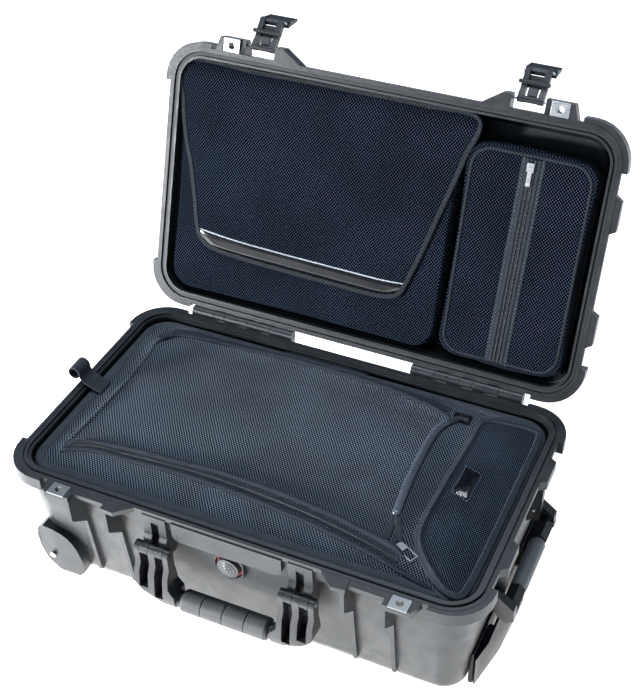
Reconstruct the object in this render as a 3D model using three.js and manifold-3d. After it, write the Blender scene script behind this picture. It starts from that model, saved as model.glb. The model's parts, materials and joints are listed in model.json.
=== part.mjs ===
// Pilot rolling flight case: a hard resin carry-on case, standing open, with fitted mesh bags.
// Millimetres. +X runs to the end with the side and trolley handles, +Y to the hinges, +Z up.
// The origin is the middle of the underside.
// The lid, its latches and its bags are drawn closed and then swung open about the hinge pins.

import * as THREE from 'three';
import { mergeVertices } from 'three/addons/utils/BufferGeometryUtils.js';
import Module from 'manifold-3d';

const wasm = await Module();
wasm.setup();

// ---------------------------------------------------------------- driving dimensions

const GAP = 0.3;                   // room between two pieces that touch
const CORNER_STEPS = 8;            // facets in a shell corner
const ROUND = 16;                  // facets in a small cylinder

const RIM_Z = 165;                 // top of the base rim, where the lid meets it
const RIM_X = 272.5;               // half length of the rim
const RIM_Y = 157.4;               // half width of the rim
const RIM_R = 42;                  // corner radius of the rim
const RIM_T = 6;                   // thickness of the rim flange
const SKIRT = 4;                   // step from the flange in to the skirt below it
const SKIRT_H = 17;                // height of that skirt
const WALL_STEP = 8.5;             // step from the flange in to the wall
const OPENING = 13;                // step from the flange edge in to the cavity mouth

const BASE_DRAFT_X = 10;           // how far the end walls lean in at the bottom
const BASE_DRAFT_Y = 12;           // how far the long walls lean in at the bottom
const FLOOR_Z = 20;                // inside floor
const FLOOR_T = 3;
const BAG_TOP = 159.2;             // top of the clothing bag
const LID_TOP = 216;               // outside of the lid panel when it is closed
const LID_RIB = 11;                // height of the ribs that stand on the lid panel
const LID_IN = 211.5;              // inside of the lid panel

const HINGE_Y = 164.8;
const HINGE_Z = 166.6;
const HINGE_R = 6.5;
const LID_OPEN = 109.6;            // degrees from closed to the open stop
const HINGE_X = 146.5;              // middle of each hinge
const KNUCKLE = 15.6;              // length of one middle knuckle
const KNUCKLE_END = 30;            // length of an end knuckle
const PIN_R = 1.6;

const LATCH_X = 160;                // middle of each latch
const LATCH_W = 36;                // width of the lever
const LATCH_BODY = 29;             // width of the body between the rail faces
const RAIL_W = 6.5;
const LATCH_Y = -168;              // latch pin, on the lid
const LATCH_Z = 175;
const LEVER_Y = -170;              // lever pin, on the latch body
const LEVER_Z = 141;
const LEVER_L = 27;
const LATCH_SWING = 118;           // degrees the latch body hangs open from closed
const LEVER_SWING = 41;            // degrees the lever stands open on the body

const RIB_X = [137.1, 181.7];      // stiffening ribs of the front wall
const LUG_X = 196;                 // middle of each padlock plate
const LUG_Y = -165.2;
const PLATE = 21;                  // side of a padlock plate
const PLATE_T = 2.4;

const HANDLE_JOINTS = [64.5, 71.2, 80.4, 88.8, 98.7, 105.5]; // ends of the five knuckles
const HANDLE_Y = -166;             // front handle pivot
const HANDLE_Z = 118;
const HANDLE_R = 7;                // its knuckle radius
const GRIP_Y = -170;
const GRIP_Z = 57;
const GRIP_R = 13;
const GRIP_L = 108;

const SIDE_X = 266;                // side handle pivot
const SIDE_Y = 68.5;
const SIDE_Z = 108;
const SIDE_GRIP_X = 280;
const SIDE_GRIP_Z = 84;
const SIDE_GRIP_R = 9.5;
const SIDE_GRIP_L = 76;

const TUBE_Y = 88;                 // trolley tubes
const TUBE_W = 15;
const TUBE_H = 10;
const TUBE_Z = 9.2;
const SLEEVE_T = 1.4;
const BEZEL_X = 259.5;             // outer face of the frame the pull sits against
const TROLLEY_Z0 = 3.6;
const TROLLEY_Z1 = 46;

const WHEEL_X = -238;
const WHEEL_Y = 128;
const WHEEL_Z = 28;
const WHEEL_R = 26;
const WHEEL_W = 22;
const WHEEL_GAP = 3;
const COVER_Y = 145.5;             // seat of the wheel covers
const COVER_T = 4.6;

const VALVE_X = -3;
const VALVE_Z = 112;
const VALVE_SEAT = -146.6;         // flat seat in the front wall

// ---------------------------------------------------------------- materials

function material(color, roughness, metalness = 0) {
  return new THREE.MeshStandardMaterial({ color, roughness, metalness });
}

const RESIN = material(0x2b2d2f, 0.62);
const RUBBER = material(0x55565a, 0.85);
const GLOSS = material(0x111214, 0.3);
const STEEL = material(0xc9ccd0, 0.25, 1);
const ALLOY = material(0xa9adb2, 0.35, 1);
const SEAL = material(0x1b1d22, 0.9);
const RED = material(0xb8302c, 0.6);
const TYRE = material(0x1a1a1c, 0.8);
const MESH = material(0x1e2126, 0.95);
const WEBBING = material(0x16171a, 0.9);
const VINYL = material(0x0c0d0f, 0.25);
const CLEAR = material(0x8f949a, 0.15);

// ---------------------------------------------------------------- solids

function solid(geometry) {
  geometry.deleteAttribute('normal');
  geometry.deleteAttribute('uv');
  const merged = mergeVertices(geometry, 1e-4);
  return new wasm.Manifold(new wasm.Mesh({
    numProp: 3,
    vertProperties: Float32Array.from(merged.attributes.position.array),
    triVerts: Uint32Array.from(merged.index.array),
  }));
}

function join(parts) {
  return parts.reduce((whole, part) => whole.add(part));
}

function cut(body, parts) {
  return parts.reduce((rest, part) => rest.subtract(part), body);
}

function box(x0, x1, y0, y1, z0, z1) {
  const geometry = new THREE.BoxGeometry(x1 - x0, y1 - y0, z1 - z0);
  geometry.translate((x0 + x1) / 2, (y0 + y1) / 2, (z0 + z1) / 2);
  return solid(geometry);
}

function rodX(x0, x1, y, z, r, facets = ROUND) {
  const geometry = new THREE.CylinderGeometry(r, r, x1 - x0, facets);
  geometry.rotateZ(Math.PI / 2);
  geometry.translate((x0 + x1) / 2, y, z);
  return solid(geometry);
}

function rodY(x, y0, y1, z, r, facets = ROUND) {
  const geometry = new THREE.CylinderGeometry(r, r, y1 - y0, facets);
  geometry.translate(x, (y0 + y1) / 2, z);
  return solid(geometry);
}

function rodZ(x, y, z0, z1, r, facets = ROUND) {
  const geometry = new THREE.CylinderGeometry(r, r, z1 - z0, facets);
  geometry.rotateX(Math.PI / 2);
  geometry.translate(x, y, (z0 + z1) / 2);
  return solid(geometry);
}

function extruded(points, depth) {
  const shape = new THREE.Shape(points.map(([a, b]) => new THREE.Vector2(a, b)));
  return new THREE.ExtrudeGeometry(shape, { depth, bevelEnabled: false });
}

// An outline in X and Y, from z0 up to z1.
function prismZ(points, z0, z1) {
  const geometry = extruded(points, z1 - z0);
  geometry.translate(0, 0, z0);
  return solid(geometry);
}

// An outline in Y and Z, from x0 to x1.
function prismX(points, x0, x1) {
  const geometry = extruded(points, x1 - x0);
  geometry.rotateY(Math.PI / 2);
  geometry.rotateX(Math.PI / 2);
  geometry.translate(x0, 0, 0);
  return solid(geometry);
}

// An outline in X and Z, from y0 to y1.
function prismY(points, y0, y1) {
  const geometry = extruded(points, y1 - y0);
  geometry.rotateX(Math.PI / 2);
  geometry.translate(0, y1, 0);
  return solid(geometry);
}

function ringPoints(halfX, halfY, radius) {
  const points = [];
  for (let corner = 0; corner < 4; corner += 1) {
    const sideX = corner === 0 || corner === 3 ? 1 : -1;
    const sideY = corner < 2 ? 1 : -1;
    for (let step = 0; step <= CORNER_STEPS; step += 1) {
      const angle = (corner + step / CORNER_STEPS) * Math.PI / 2;
      points.push([
        sideX * (halfX - radius) + radius * Math.cos(angle),
        sideY * (halfY - radius) + radius * Math.sin(angle),
      ]);
    }
  }
  return points;
}

// A closed body through rounded rectangles, each given as z, half length, half width, radius.
function loft(levels) {
  const rings = levels.map(([z, halfX, halfY, radius]) => (
    ringPoints(halfX, halfY, radius).map(([x, y]) => [x, y, z])
  ));
  const count = rings[0].length;
  const positions = rings.flat(2);
  positions.push(0, 0, levels[0][0], 0, 0, levels[levels.length - 1][0]);
  const low = rings.length * count;
  const high = low + 1;
  const index = [];
  for (let i = 0; i < count; i += 1) {
    const next = (i + 1) % count;
    index.push(low, next, i);
    const top = (rings.length - 1) * count;
    index.push(high, top + i, top + next);
    for (let level = 0; level + 1 < rings.length; level += 1) {
      const a = level * count;
      const b = a + count;
      index.push(a + i, a + next, b + next, a + i, b + next, b + i);
    }
  }
  const geometry = new THREE.BufferGeometry();
  geometry.setAttribute('position', new THREE.Float32BufferAttribute(positions, 3));
  geometry.setIndex(index);
  return solid(geometry);
}

// A rounded-rectangle ring with straight sides, set in from the rim edge by two amounts.
function rimRing(outerStep, innerStep, z0, z1) {
  const level = (z, step) => [z, RIM_X - step, RIM_Y - step, RIM_R - step];
  const outer = loft([level(z0, outerStep), level(z1, outerStep)]);
  const inner = loft([level(z0 - 1, innerStep), level(z1 + 1, innerStep)]);
  return outer.subtract(inner);
}

function bothSides(make) {
  return [-1, 1].map(make);
}

// Mirrors a solid drawn on the +X side to the -X side.
function onSide(body, side) {
  return side > 0 ? body : body.mirror([1, 0, 0]);
}

const group = new THREE.Group();

function place(name, body, finish, matrix = new THREE.Matrix4()) {
  const { vertProperties, triVerts } = body.getMesh();
  const geometry = new THREE.BufferGeometry();
  geometry.setAttribute('position', new THREE.Float32BufferAttribute(vertProperties, 3));
  geometry.setIndex(Array.from(triVerts));
  geometry.applyMatrix4(matrix);
  geometry.computeVertexNormals();
  const mesh = new THREE.Mesh(geometry, finish.clone());
  mesh.name = name;
  group.add(mesh);
}

// A turn about a line along X, with the near edge lifting and going back.
function swing(y, z, degrees) {
  const there = new THREE.Matrix4().makeTranslation(0, y, z);
  const back = new THREE.Matrix4().makeTranslation(0, -y, -z);
  const turn = new THREE.Matrix4().makeRotationX(-THREE.MathUtils.degToRad(degrees));
  return there.multiply(turn).multiply(back);
}

const OPEN = swing(HINGE_Y, HINGE_Z, LID_OPEN);
const LATCH_OPEN = OPEN.clone().multiply(swing(LATCH_Y, LATCH_Z, LATCH_SWING));
const LEVER_OPEN = LATCH_OPEN.clone().multiply(swing(LEVER_Y, LEVER_Z, LEVER_SWING));

// ---------------------------------------------------------------- features shared by both shells

// Four corner bumpers: the rim grown outwards, kept only round the corners.
function bumpers(z0, z1) {
  const grown = loft([
    [z0, RIM_X + 6, RIM_Y + 5, RIM_R + 3],
    [z1, RIM_X + 6, RIM_Y + 5, RIM_R + 3],
  ]);
  const inside = loft([
    [z0 - 1, RIM_X - 3, RIM_Y - 3, RIM_R - 3],
    [z1 + 1, RIM_X - 3, RIM_Y - 3, RIM_R - 3],
  ]);
  const ring = grown.subtract(inside);
  const longGap = box(-(RIM_X - 50), RIM_X - 50, -300, 300, z0 - 2, z1 + 2);
  const shortGap = box(-400, 400, -(RIM_Y - 45), RIM_Y - 45, z0 - 2, z1 + 2);
  return cut(ring, [longGap, shortGap]);
}

// Two bosses on the +X end of the rim, above the side handle.
function sideBosses(z0, z1) {
  const boss = prismZ([
    [RIM_X - 2, 44], [RIM_X + 7, 49], [RIM_X + 7, 82], [RIM_X - 2, 88],
  ], z0, z1);
  return boss.add(boss.mirror([0, 1, 0]));
}

// Where the knuckles of one hinge start and end, from -X to +X.
function knuckleSpans() {
  const middle = 5 * KNUCKLE;
  const spans = [[-middle / 2 - KNUCKLE_END, -middle / 2]];
  for (let i = 0; i < 5; i += 1) {
    spans.push([-middle / 2 + i * KNUCKLE, -middle / 2 + (i + 1) * KNUCKLE]);
  }
  spans.push([middle / 2, middle / 2 + KNUCKLE_END]);
  return spans;
}

// The knuckles that belong to one shell: the base has the even ones, the lid the odd ones.
function knuckles(first, web) {
  const parts = [];
  for (const middle of [-HINGE_X, HINGE_X]) {
    knuckleSpans().forEach(([from, to], i) => {
      if (i % 2 !== first) {
        return;
      }
      const x0 = middle + from + GAP;
      const x1 = middle + to - GAP;
      parts.push(rodX(x0, x1, HINGE_Y, HINGE_Z, HINGE_R));
      parts.push(prismX(web, x0, x1));
    });
  }
  return parts;
}

// Section of the base webs: above the joint they stay behind the lid's rim.
function baseWeb() {
  return [
    [RIM_Y - 5, RIM_Z - 16], [HINGE_Y + 1, RIM_Z - 14], [HINGE_Y + HINGE_R - 0.4, HINGE_Z],
    [HINGE_Y + 1, RIM_Z + 1], [RIM_Y + 1, RIM_Z + 3], [RIM_Y + 1, RIM_Z - GAP],
    [RIM_Y - 5, RIM_Z - GAP],
  ];
}

function lidWeb() {
  return [
    [RIM_Y - 5, RIM_Z + 1.5], [HINGE_Y + 1, RIM_Z + 3.5], [HINGE_Y + HINGE_R - 0.4, HINGE_Z],
    [HINGE_Y + 1, RIM_Z + 16], [RIM_Y - 5, RIM_Z + 18],
  ];
}

function hingeBores() {
  return [-HINGE_X, HINGE_X].map((x) => rodX(x - 80, x + 80, HINGE_Y, HINGE_Z, PIN_R + GAP, 12));
}

// ---------------------------------------------------------------- base

function baseOuter() {
  const wallX = RIM_X - WALL_STEP;
  const wallY = RIM_Y - WALL_STEP;
  const wallR = RIM_R - WALL_STEP;
  return loft([
    [0, wallX - BASE_DRAFT_X - 9, wallY - BASE_DRAFT_Y - 12, wallR - 12],
    [2, wallX - BASE_DRAFT_X - 6, wallY - BASE_DRAFT_Y - 9, wallR - 9],
    [8, wallX - BASE_DRAFT_X - 2, wallY - BASE_DRAFT_Y - 4, wallR - 6],
    [18, wallX - BASE_DRAFT_X, wallY - BASE_DRAFT_Y, wallR - 5],
    [RIM_Z - RIM_T - SKIRT_H + 2, wallX, wallY, wallR],
  ]);
}

function baseInner() {
  const mouthX = RIM_X - OPENING;
  const mouthY = RIM_Y - OPENING;
  const mouthR = RIM_R - OPENING;
  return loft([
    [FLOOR_Z, mouthX - BASE_DRAFT_X - 6, mouthY - BASE_DRAFT_Y - 6, mouthR - 8],
    [FLOOR_Z + 8, mouthX - BASE_DRAFT_X + 1, mouthY - BASE_DRAFT_Y + 1, mouthR - 5],
    [RIM_Z + 5, mouthX, mouthY, mouthR],
  ]);
}

// The rim, from the outside in: flange, groove, tongue, and a lower inner lip.
function baseRim() {
  const flange = rimRing(0, OPENING, RIM_Z - RIM_T, RIM_Z);
  const skirt = rimRing(SKIRT, OPENING - 1, RIM_Z - RIM_T - SKIRT_H, RIM_Z - RIM_T + 1);
  const tongue = rimRing(6, 9.5, RIM_Z - 1, RIM_Z + 1.6);
  const groove = rimRing(4, 6, RIM_Z - 3, RIM_Z + 1);
  const lip = rimRing(9.5, OPENING + 1, RIM_Z - 1.4, RIM_Z + 1);
  return flange.add(skirt).add(tongue).subtract(groove).subtract(lip);
}

// A deep plate that carries a lug or an ear and runs out into the rib below it.
function gusset(x, front) {
  return prismX([
    [-RIM_Y + 11, RIM_Z - 6], [front, RIM_Z - 6], [front, 130], [front + 2.5, 126.5],
    [-RIM_Y + 10.4, 105], [-RIM_Y + 15, 105],
  ], x - 2.3, x + 2.3);
}

// On the +X side: the padlock lug, the catch lip and the sloping ear beside the latch.
function baseCatch() {
  const top = RIM_Z - GAP;
  const front = LUG_Y - 8.5;
  const lug = prismZ([
    [LUG_X + 21, -RIM_Y + 2], [LUG_X + 14, front], [LUG_X - 16, front], [LUG_X - 16, -RIM_Y + 2],
  ], top - 8, top - PLATE_T - GAP);
  const outerWall = prismZ([
    [LUG_X + 21, -RIM_Y + 2], [LUG_X + 14, front], [LUG_X + 11, front], [LUG_X + 11, -RIM_Y + 2],
  ], top - 8, top);
  const innerWall = box(LUG_X - 16, LUG_X - 11, front, -RIM_Y + 2, top - 8, top);
  const ear = prismZ([
    [LATCH_X - 19.5, -RIM_Y + 2], [LATCH_X - 19.5, -172], [LATCH_X - 35, -173],
    [LATCH_X - 54, -RIM_Y + 2],
  ], top - 5.5, top);
  const lip = box(LATCH_X - 19, LATCH_X + 21, LATCH_Y + 2.6, -RIM_Y + 2, top - 5.5, top);
  return join([
    lug, outerWall, innerWall, ear, lip, gusset(RIB_X[0], -171.8), gusset(RIB_X[1], front),
  ]);
}

// A vertical stiffening rib on the front wall, leaning with its draft.
function frontRib(x) {
  return prismX([
    [-RIM_Y + 14, 116], [-RIM_Y + 6.5, 116], [-RIM_Y + 15.8, 18], [-RIM_Y + 28, 18],
  ], x - 2.3, x + 2.3);
}

// On the +X side: the block that carries one end of the front handle, slotted for its fingers.
function handleMount() {
  const [, x0, slot0, slot1, x1] = HANDLE_JOINTS;
  const block = prismX([
    [-RIM_Y + 8, RIM_Z - RIM_T + 1], [-RIM_Y - 1, RIM_Z - RIM_T + 1], [-RIM_Y - 1, HANDLE_Z + 14],
    [-RIM_Y - 4, HANDLE_Z + 10], [-RIM_Y - 4, HANDLE_Z - 9], [-RIM_Y + 12, HANDLE_Z - 15],
  ], x0, x1);
  const barrel = rodX(x0, x1, HANDLE_Y, HANDLE_Z, HANDLE_R);
  const low = HANDLE_Z - 30;
  const slot = box(slot0 - GAP, slot1 + GAP, -200, -RIM_Y + 6, low, RIM_Z - RIM_T - 8);
  return block.add(barrel).subtract(slot);
}

// The three fingers of the handle in one mount, on the +X side.
function handleFingers() {
  const at = HANDLE_JOINTS;
  return [[at[0], at[1] - GAP], [at[2], at[3]], [at[4] + GAP, at[5]]];
}

// The raised panel over the front handle, with round lower corners.
function centrePanel() {
  const low = RIM_Z - 30.5;
  const outline = [[-64, RIM_Z - RIM_T + 1], [-64, low + 8], [-62, low + 3.5], [-57, low]];
  const mirrored = outline.map(([x, z]) => [-x, z]).reverse();
  return prismY([...outline, ...mirrored], -RIM_Y - 1.5, -RIM_Y + 12);
}

function valveBoss() {
  return rodY(VALVE_X, VALVE_SEAT - 4.5, VALVE_SEAT + 6, VALVE_Z, 20, 6);
}

function valvePocket() {
  return rodY(VALVE_X, VALVE_SEAT - 10, VALVE_SEAT, VALVE_Z, 16.5, 20);
}

// The pad that a wheel cover is screwed to, on the front.
function wheelPad() {
  const y0 = COVER_Y - 16;
  return prismY(coverOutline(0), -COVER_Y, -y0);
}

// Outline of a wheel cover in X and Z, drawn in from its edge by `inset`.
function coverOutline(inset) {
  const points = [
    [-233.7, 3.2], [-246.8, 12], [-252.8, 22], [-256.8, 33], [-258, 51], [-255, 63],
    [-247, 70], [-233, 70], [-223, 67.6], [-214.5, 62.8], [-207.5, 54.5], [-203, 45],
    [-200.3, 35], [-199, 24], [-199.5, 11], [-206, 3.6],
  ];
  const shrink = 1 - inset / 30;
  const middle = [-228, 37];
  return points
    .map(([x, z]) => [middle[0] + (x - middle[0]) * shrink, middle[1] + (z - middle[1]) * shrink])
    .reverse();
}

// The pocket a wheel turns in, and the walls that keep it out of the cavity.
function wheelWell(grow) {
  const r = WHEEL_R + WHEEL_GAP + grow;
  const y0 = WHEEL_Y - WHEEL_W / 2 - 2 - grow;
  const y1 = WHEEL_Y + WHEEL_W / 2 + (grow ? 0 : 8);
  const round = rodY(WHEEL_X, -y1, -y0, WHEEL_Z, r, 24);
  const down = box(WHEEL_X - r, WHEEL_X + r, -y1, -y0, grow ? 1 : -5, WHEEL_Z);
  const out = box(WHEEL_X - 60, WHEEL_X, -y1, -y0, grow ? 1 : -5, WHEEL_Z + r - 2);
  return join([round, down, out]);
}

function sideEars() {
  const ear = prismY([
    [SIDE_X - 12, SIDE_Z - 24], [SIDE_X + 2, SIDE_Z - 12], [SIDE_X + 8, SIDE_Z],
    [SIDE_X + 9, SIDE_Z + 36], [SIDE_X - 8, SIDE_Z + 40],
  ], SIDE_Y - 12, SIDE_Y - 2);
  return ear.add(ear.mirror([0, 1, 0]));
}

// Open pockets in the underside, so the floor is a ribbed skin and not a slab.
function undersidePockets() {
  const pockets = [];
  for (const side of [-1, 1]) {
    const y0 = side > 0 ? 106 : -122;
    for (let i = 0; i < 4; i += 1) {
      const x0 = -198 + i * 108;
      pockets.push(box(x0, x0 + 102, y0, y0 + 16, -1, FLOOR_Z - FLOOR_T));
    }
  }
  const channel = box(-206, 400, -102, 102, -1, FLOOR_Z - FLOOR_T);
  return [...pockets, channel];
}

// Ribs that stand in the channel between the two trolley sleeves.
function channelRibs() {
  const ribs = [];
  for (let i = 0; i < 5; i += 1) {
    const x = -190 + i * 95;
    ribs.push(box(x, x + 3, -76, 76, 3.4, FLOOR_Z - 1));
  }
  return ribs;
}

function baseShell() {
  let shell = baseOuter().add(baseRim());
  const outside = [
    ...bothSides((side) => onSide(baseCatch(), side)),
    ...bothSides((side) => onSide(handleMount(), side)),
    ...RIB_X.flatMap((x) => bothSides((side) => onSide(frontRib(x), side))),
    centrePanel(),
    valveBoss(),
    wheelPad(),
    wheelPad().mirror([0, 1, 0]),
    sideEars(),
    sideBosses(RIM_Z - RIM_T - 6, RIM_Z - 0.5),
    bumpers(RIM_Z - RIM_T - 10, RIM_Z - 0.5),
    ...knuckles(0, baseWeb()),
  ];
  shell = join([shell, ...outside]);
  shell = shell.subtract(baseInner());
  const wells = [wheelWell(3), wheelWell(3).mirror([0, 1, 0])];
  const inRoom = baseOuter();
  shell = join([shell, ...wells.map((well) => well.intersect(inRoom))]);
  const ribs = channelRibs();
  const cuts = [
    wheelWell(0),
    wheelWell(0).mirror([0, 1, 0]),
    ...undersidePockets(),
    ...hingeBores(),
    rodX(-130, 130, HANDLE_Y, HANDLE_Z, PIN_R + GAP, 12),
    valvePocket(),
    rodY(VALVE_X, -160, -130, VALVE_Z, 8.3),
    rodY(WHEEL_X, -160, 160, WHEEL_Z, 3.3, 12),
    rodY(SIDE_X, -90, 90, SIDE_Z, 2.3, 12),
    ...bothSides((side) => rodZ(side * LUG_X, LUG_Y, 120, RIM_Z + 5, 4.2, 16)),
  ];
  return join([cut(shell, cuts), ...ribs]);
}

// ---------------------------------------------------------------- lid, drawn closed

function lidOuter() {
  const wallX = RIM_X - WALL_STEP;
  const wallY = RIM_Y - WALL_STEP;
  const wallR = RIM_R - WALL_STEP;
  return loft([
    [RIM_Z + RIM_T + SKIRT_H - 6, wallX, wallY, wallR],
    [LID_TOP - 8, wallX - 4, wallY - 4, wallR],
    [LID_TOP - 2, wallX - 7, wallY - 7, wallR - 2],
    [LID_TOP, wallX - 12, wallY - 12, wallR - 5],
  ]);
}

function lidInner() {
  const mouthX = RIM_X - OPENING;
  const mouthY = RIM_Y - OPENING;
  const mouthR = RIM_R - OPENING;
  return loft([
    [RIM_Z - 5, mouthX, mouthY, mouthR],
    [RIM_Z + 12, mouthX, mouthY, mouthR],
    [LID_IN - 8, mouthX - 4, mouthY - 4, mouthR],
    [LID_IN, mouthX - 12, mouthY - 12, mouthR - 5],
  ]);
}

function lidRim() {
  const low = RIM_Z + GAP;
  const flange = rimRing(0, OPENING, low, low + RIM_T);
  const skirt = rimRing(SKIRT, OPENING - 1, low + RIM_T - 1, low + RIM_T + SKIRT_H - 4);
  const groove = rimRing(5.2, 10.3, low - 1, low + 5);
  return flange.add(skirt).subtract(groove);
}

// Two long ribs and four short feet on the lid panel.
function lidRibs() {
  const z0 = LID_TOP - 3;
  const z1 = LID_TOP + LID_RIB;
  const feet = [];
  for (const x of [-196, 196]) {
    for (const y of [-84, 84]) {
      feet.push(loft([[z0, 44, 34, 12], [z1 - 3, 40, 30, 12], [z1, 37, 27, 10]]).translate([x, y, 0]));
    }
  }
  const rib = loft([[z0, 140, 9, 6], [z1 - 3, 138, 7, 5], [z1, 136, 5, 4]]);
  return [...feet, rib.translate([0, -84, 0]), rib.translate([0, 84, 0])];
}

// The hollows inside those feet, open to the inside of the lid.
function footHollows() {
  const hollows = [];
  for (const x of [-196, 196]) {
    for (const y of [-84, 84]) {
      hollows.push(box(x - 34, x + 34, y - 24, y + 24, LID_IN - 3, LID_TOP + LID_RIB - 4));
    }
  }
  return hollows;
}

// On the +X side: the lid's padlock lug and the two ears that hold a latch pin.
function lidCatch() {
  const low = RIM_Z + GAP;
  const front = LUG_Y - 8.5;
  const lug = prismZ([
    [LUG_X + 21, -RIM_Y + 2], [LUG_X + 15, front], [LUG_X - 17, front], [LUG_X - 17, -RIM_Y + 2],
  ], low + PLATE_T + GAP, low + 13);
  const outerWall = prismZ([
    [LUG_X + 21, -RIM_Y + 2], [LUG_X + 15, front], [LUG_X + 11, front], [LUG_X + 11, -RIM_Y + 2],
  ], low, low + 13);
  const innerWall = prismX([
    [-RIM_Y + 2, low], [-173, low + 4], [-173, low + 14], [-RIM_Y + 2, low + 22],
  ], LATCH_X + LATCH_W / 2 + 1, LUG_X - 11);
  const ear = prismZ([
    [LATCH_X - LATCH_W / 2 - 1, -RIM_Y + 2], [LATCH_X - LATCH_W / 2 - 1, -172.5],
    [LATCH_X - 29, -172.5], [LATCH_X - 55, -RIM_Y + 2],
  ], low, low + 15);
  return join([lug, outerWall, innerWall, ear]);
}

function lidShell() {
  let shell = lidOuter().add(lidRim());
  shell = join([
    shell,
    ...lidRibs(),
    ...bothSides((side) => onSide(lidCatch(), side)),
    sideBosses(RIM_Z + 0.8, RIM_Z + RIM_T + 6),
    bumpers(RIM_Z + 0.8, RIM_Z + RIM_T + 10),
    ...knuckles(1, lidWeb()),
  ]);
  return cut(shell, [
    lidInner(),
    ...footHollows(),
    ...hingeBores(),
    ...bothSides((side) => rodX(
      side * LATCH_X - 24, side * LATCH_X + 24, LATCH_Y, LATCH_Z, PIN_R + GAP, 12,
    )),
    ...bothSides((side) => rodZ(side * LUG_X, LUG_Y, RIM_Z - 5, RIM_Z + 40, 4.2, 16)),
  ]);
}

function gasket() {
  return rimRing(5.5, 10, RIM_Z + GAP + 2, RIM_Z + GAP + 4.7);
}

// ---------------------------------------------------------------- small hardware

function padlockPlate(x, z0) {
  const half = PLATE / 2;
  const plate = box(x - half, x + half, LUG_Y - 8.2, LUG_Y + 7.6, z0, z0 + PLATE_T);
  return plate.subtract(rodZ(x, LUG_Y, z0 - 1, z0 + PLATE_T + 1, 3.9, 16));
}

function hingePin(x) {
  return rodX(x - 68, x + 68, HINGE_Y, HINGE_Z, PIN_R, 12);
}

// The latch body, drawn closed: two rails from the lid pin down to the lever pin, and the
// hook bar that pulls up under the lip of the base.
function latchBody(side) {
  const x = side * LATCH_X;
  const half = LATCH_BODY / 2;
  const rail = [
    [LATCH_Y + 3.6, LATCH_Z + 1], [LATCH_Y + 1, LATCH_Z + 3.8], [LATCH_Y - 2, LATCH_Z + 3.6],
    [LATCH_Y - 4, LATCH_Z], [LEVER_Y - 3.6, LEVER_Z - 2], [LEVER_Y, LEVER_Z - 4],
    [LEVER_Y + 4, LEVER_Z - 1], [LATCH_Y + 2.6, LATCH_Z - 21], [LATCH_Y + 1.4, LATCH_Z - 15],
    [LATCH_Y + 1.4, LATCH_Z - 10], [LATCH_Y + 3.4, LATCH_Z - 6],
  ];
  const rails = [
    prismX(rail, x - half, x - half + RAIL_W),
    prismX(rail, x + half - RAIL_W, x + half),
  ];
  const web = box(
    x - half + 1, x + half - 1, LATCH_Y - 3.4, LATCH_Y - 0.6, LEVER_Z + 6.2, LATCH_Z - 14,
  );
  const collar = rodX(x - half, x + half, LATCH_Y, LATCH_Z, 3.6, 16);
  const bar = rodX(x - half - 3, x + half + 3, LATCH_Y + 2.9, LATCH_Z - 18.3, 2.2, 16);
  const body = join([...rails, web, collar, bar]);
  return cut(body, [
    rodX(x - 30, x + 30, LATCH_Y, LATCH_Z, PIN_R + GAP, 12),
    rodX(x - 30, x + 30, LEVER_Y, LEVER_Z, 1.3 + GAP, 12),
    box(
      x - half + RAIL_W - GAP, x + half - RAIL_W + GAP, LEVER_Y - 8, LEVER_Y + 8, LEVER_Z - 8,
      LEVER_Z + 5.8,
    ),
  ]);
}

// The small bright block between the rails of a latch body.
function latchBlock(side) {
  const x = side * LATCH_X;
  return box(x - 5.5, x + 5.5, LATCH_Y - 3.2, LATCH_Y + 0.8, LATCH_Z - 13.7, LATCH_Z - 4.4);
}

// The lever, drawn closed: a curved plate that hangs from its own pin.
function latchLever(side) {
  const x = side * LATCH_X;
  const half = LATCH_W / 2;
  const inner = LATCH_BODY / 2 - RAIL_W;
  const low = LEVER_Z - LEVER_L;
  const plate = prismX([
    [LEVER_Y - 4.4, LEVER_Z - 5], [LEVER_Y - 4.4, LEVER_Z - 3.6], [LEVER_Y - 7.4, LEVER_Z - 3.6],
    [LEVER_Y - 7.6, LEVER_Z - 8], [LEVER_Y - 9.2, low], [LEVER_Y - 6.4, low - 1],
    [LEVER_Y - 4.8, LEVER_Z - 12],
  ], x - half, x + half);
  const tongue = prismX([
    [LEVER_Y - 4, LEVER_Z + 2.4], [LEVER_Y + 1, LEVER_Z + 3.4], [LEVER_Y + 3.2, LEVER_Z],
    [LEVER_Y + 1, LEVER_Z - 3.4], [LEVER_Y - 5, LEVER_Z - 6],
  ], x - inner, x + inner);
  const sides = [x - half, x + half - 2.4].map((x0) => prismX([
    [LEVER_Y - 6, LEVER_Z - 6], [LEVER_Y - 1.5, LEVER_Z - 9], [LEVER_Y - 6, low + 2],
  ], x0, x0 + 2.4));
  const lever = join([plate, tongue, ...sides]);
  return lever.subtract(rodX(x - 30, x + 30, LEVER_Y, LEVER_Z, 1.3 + GAP, 12));
}

// ---------------------------------------------------------------- front handle

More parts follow.
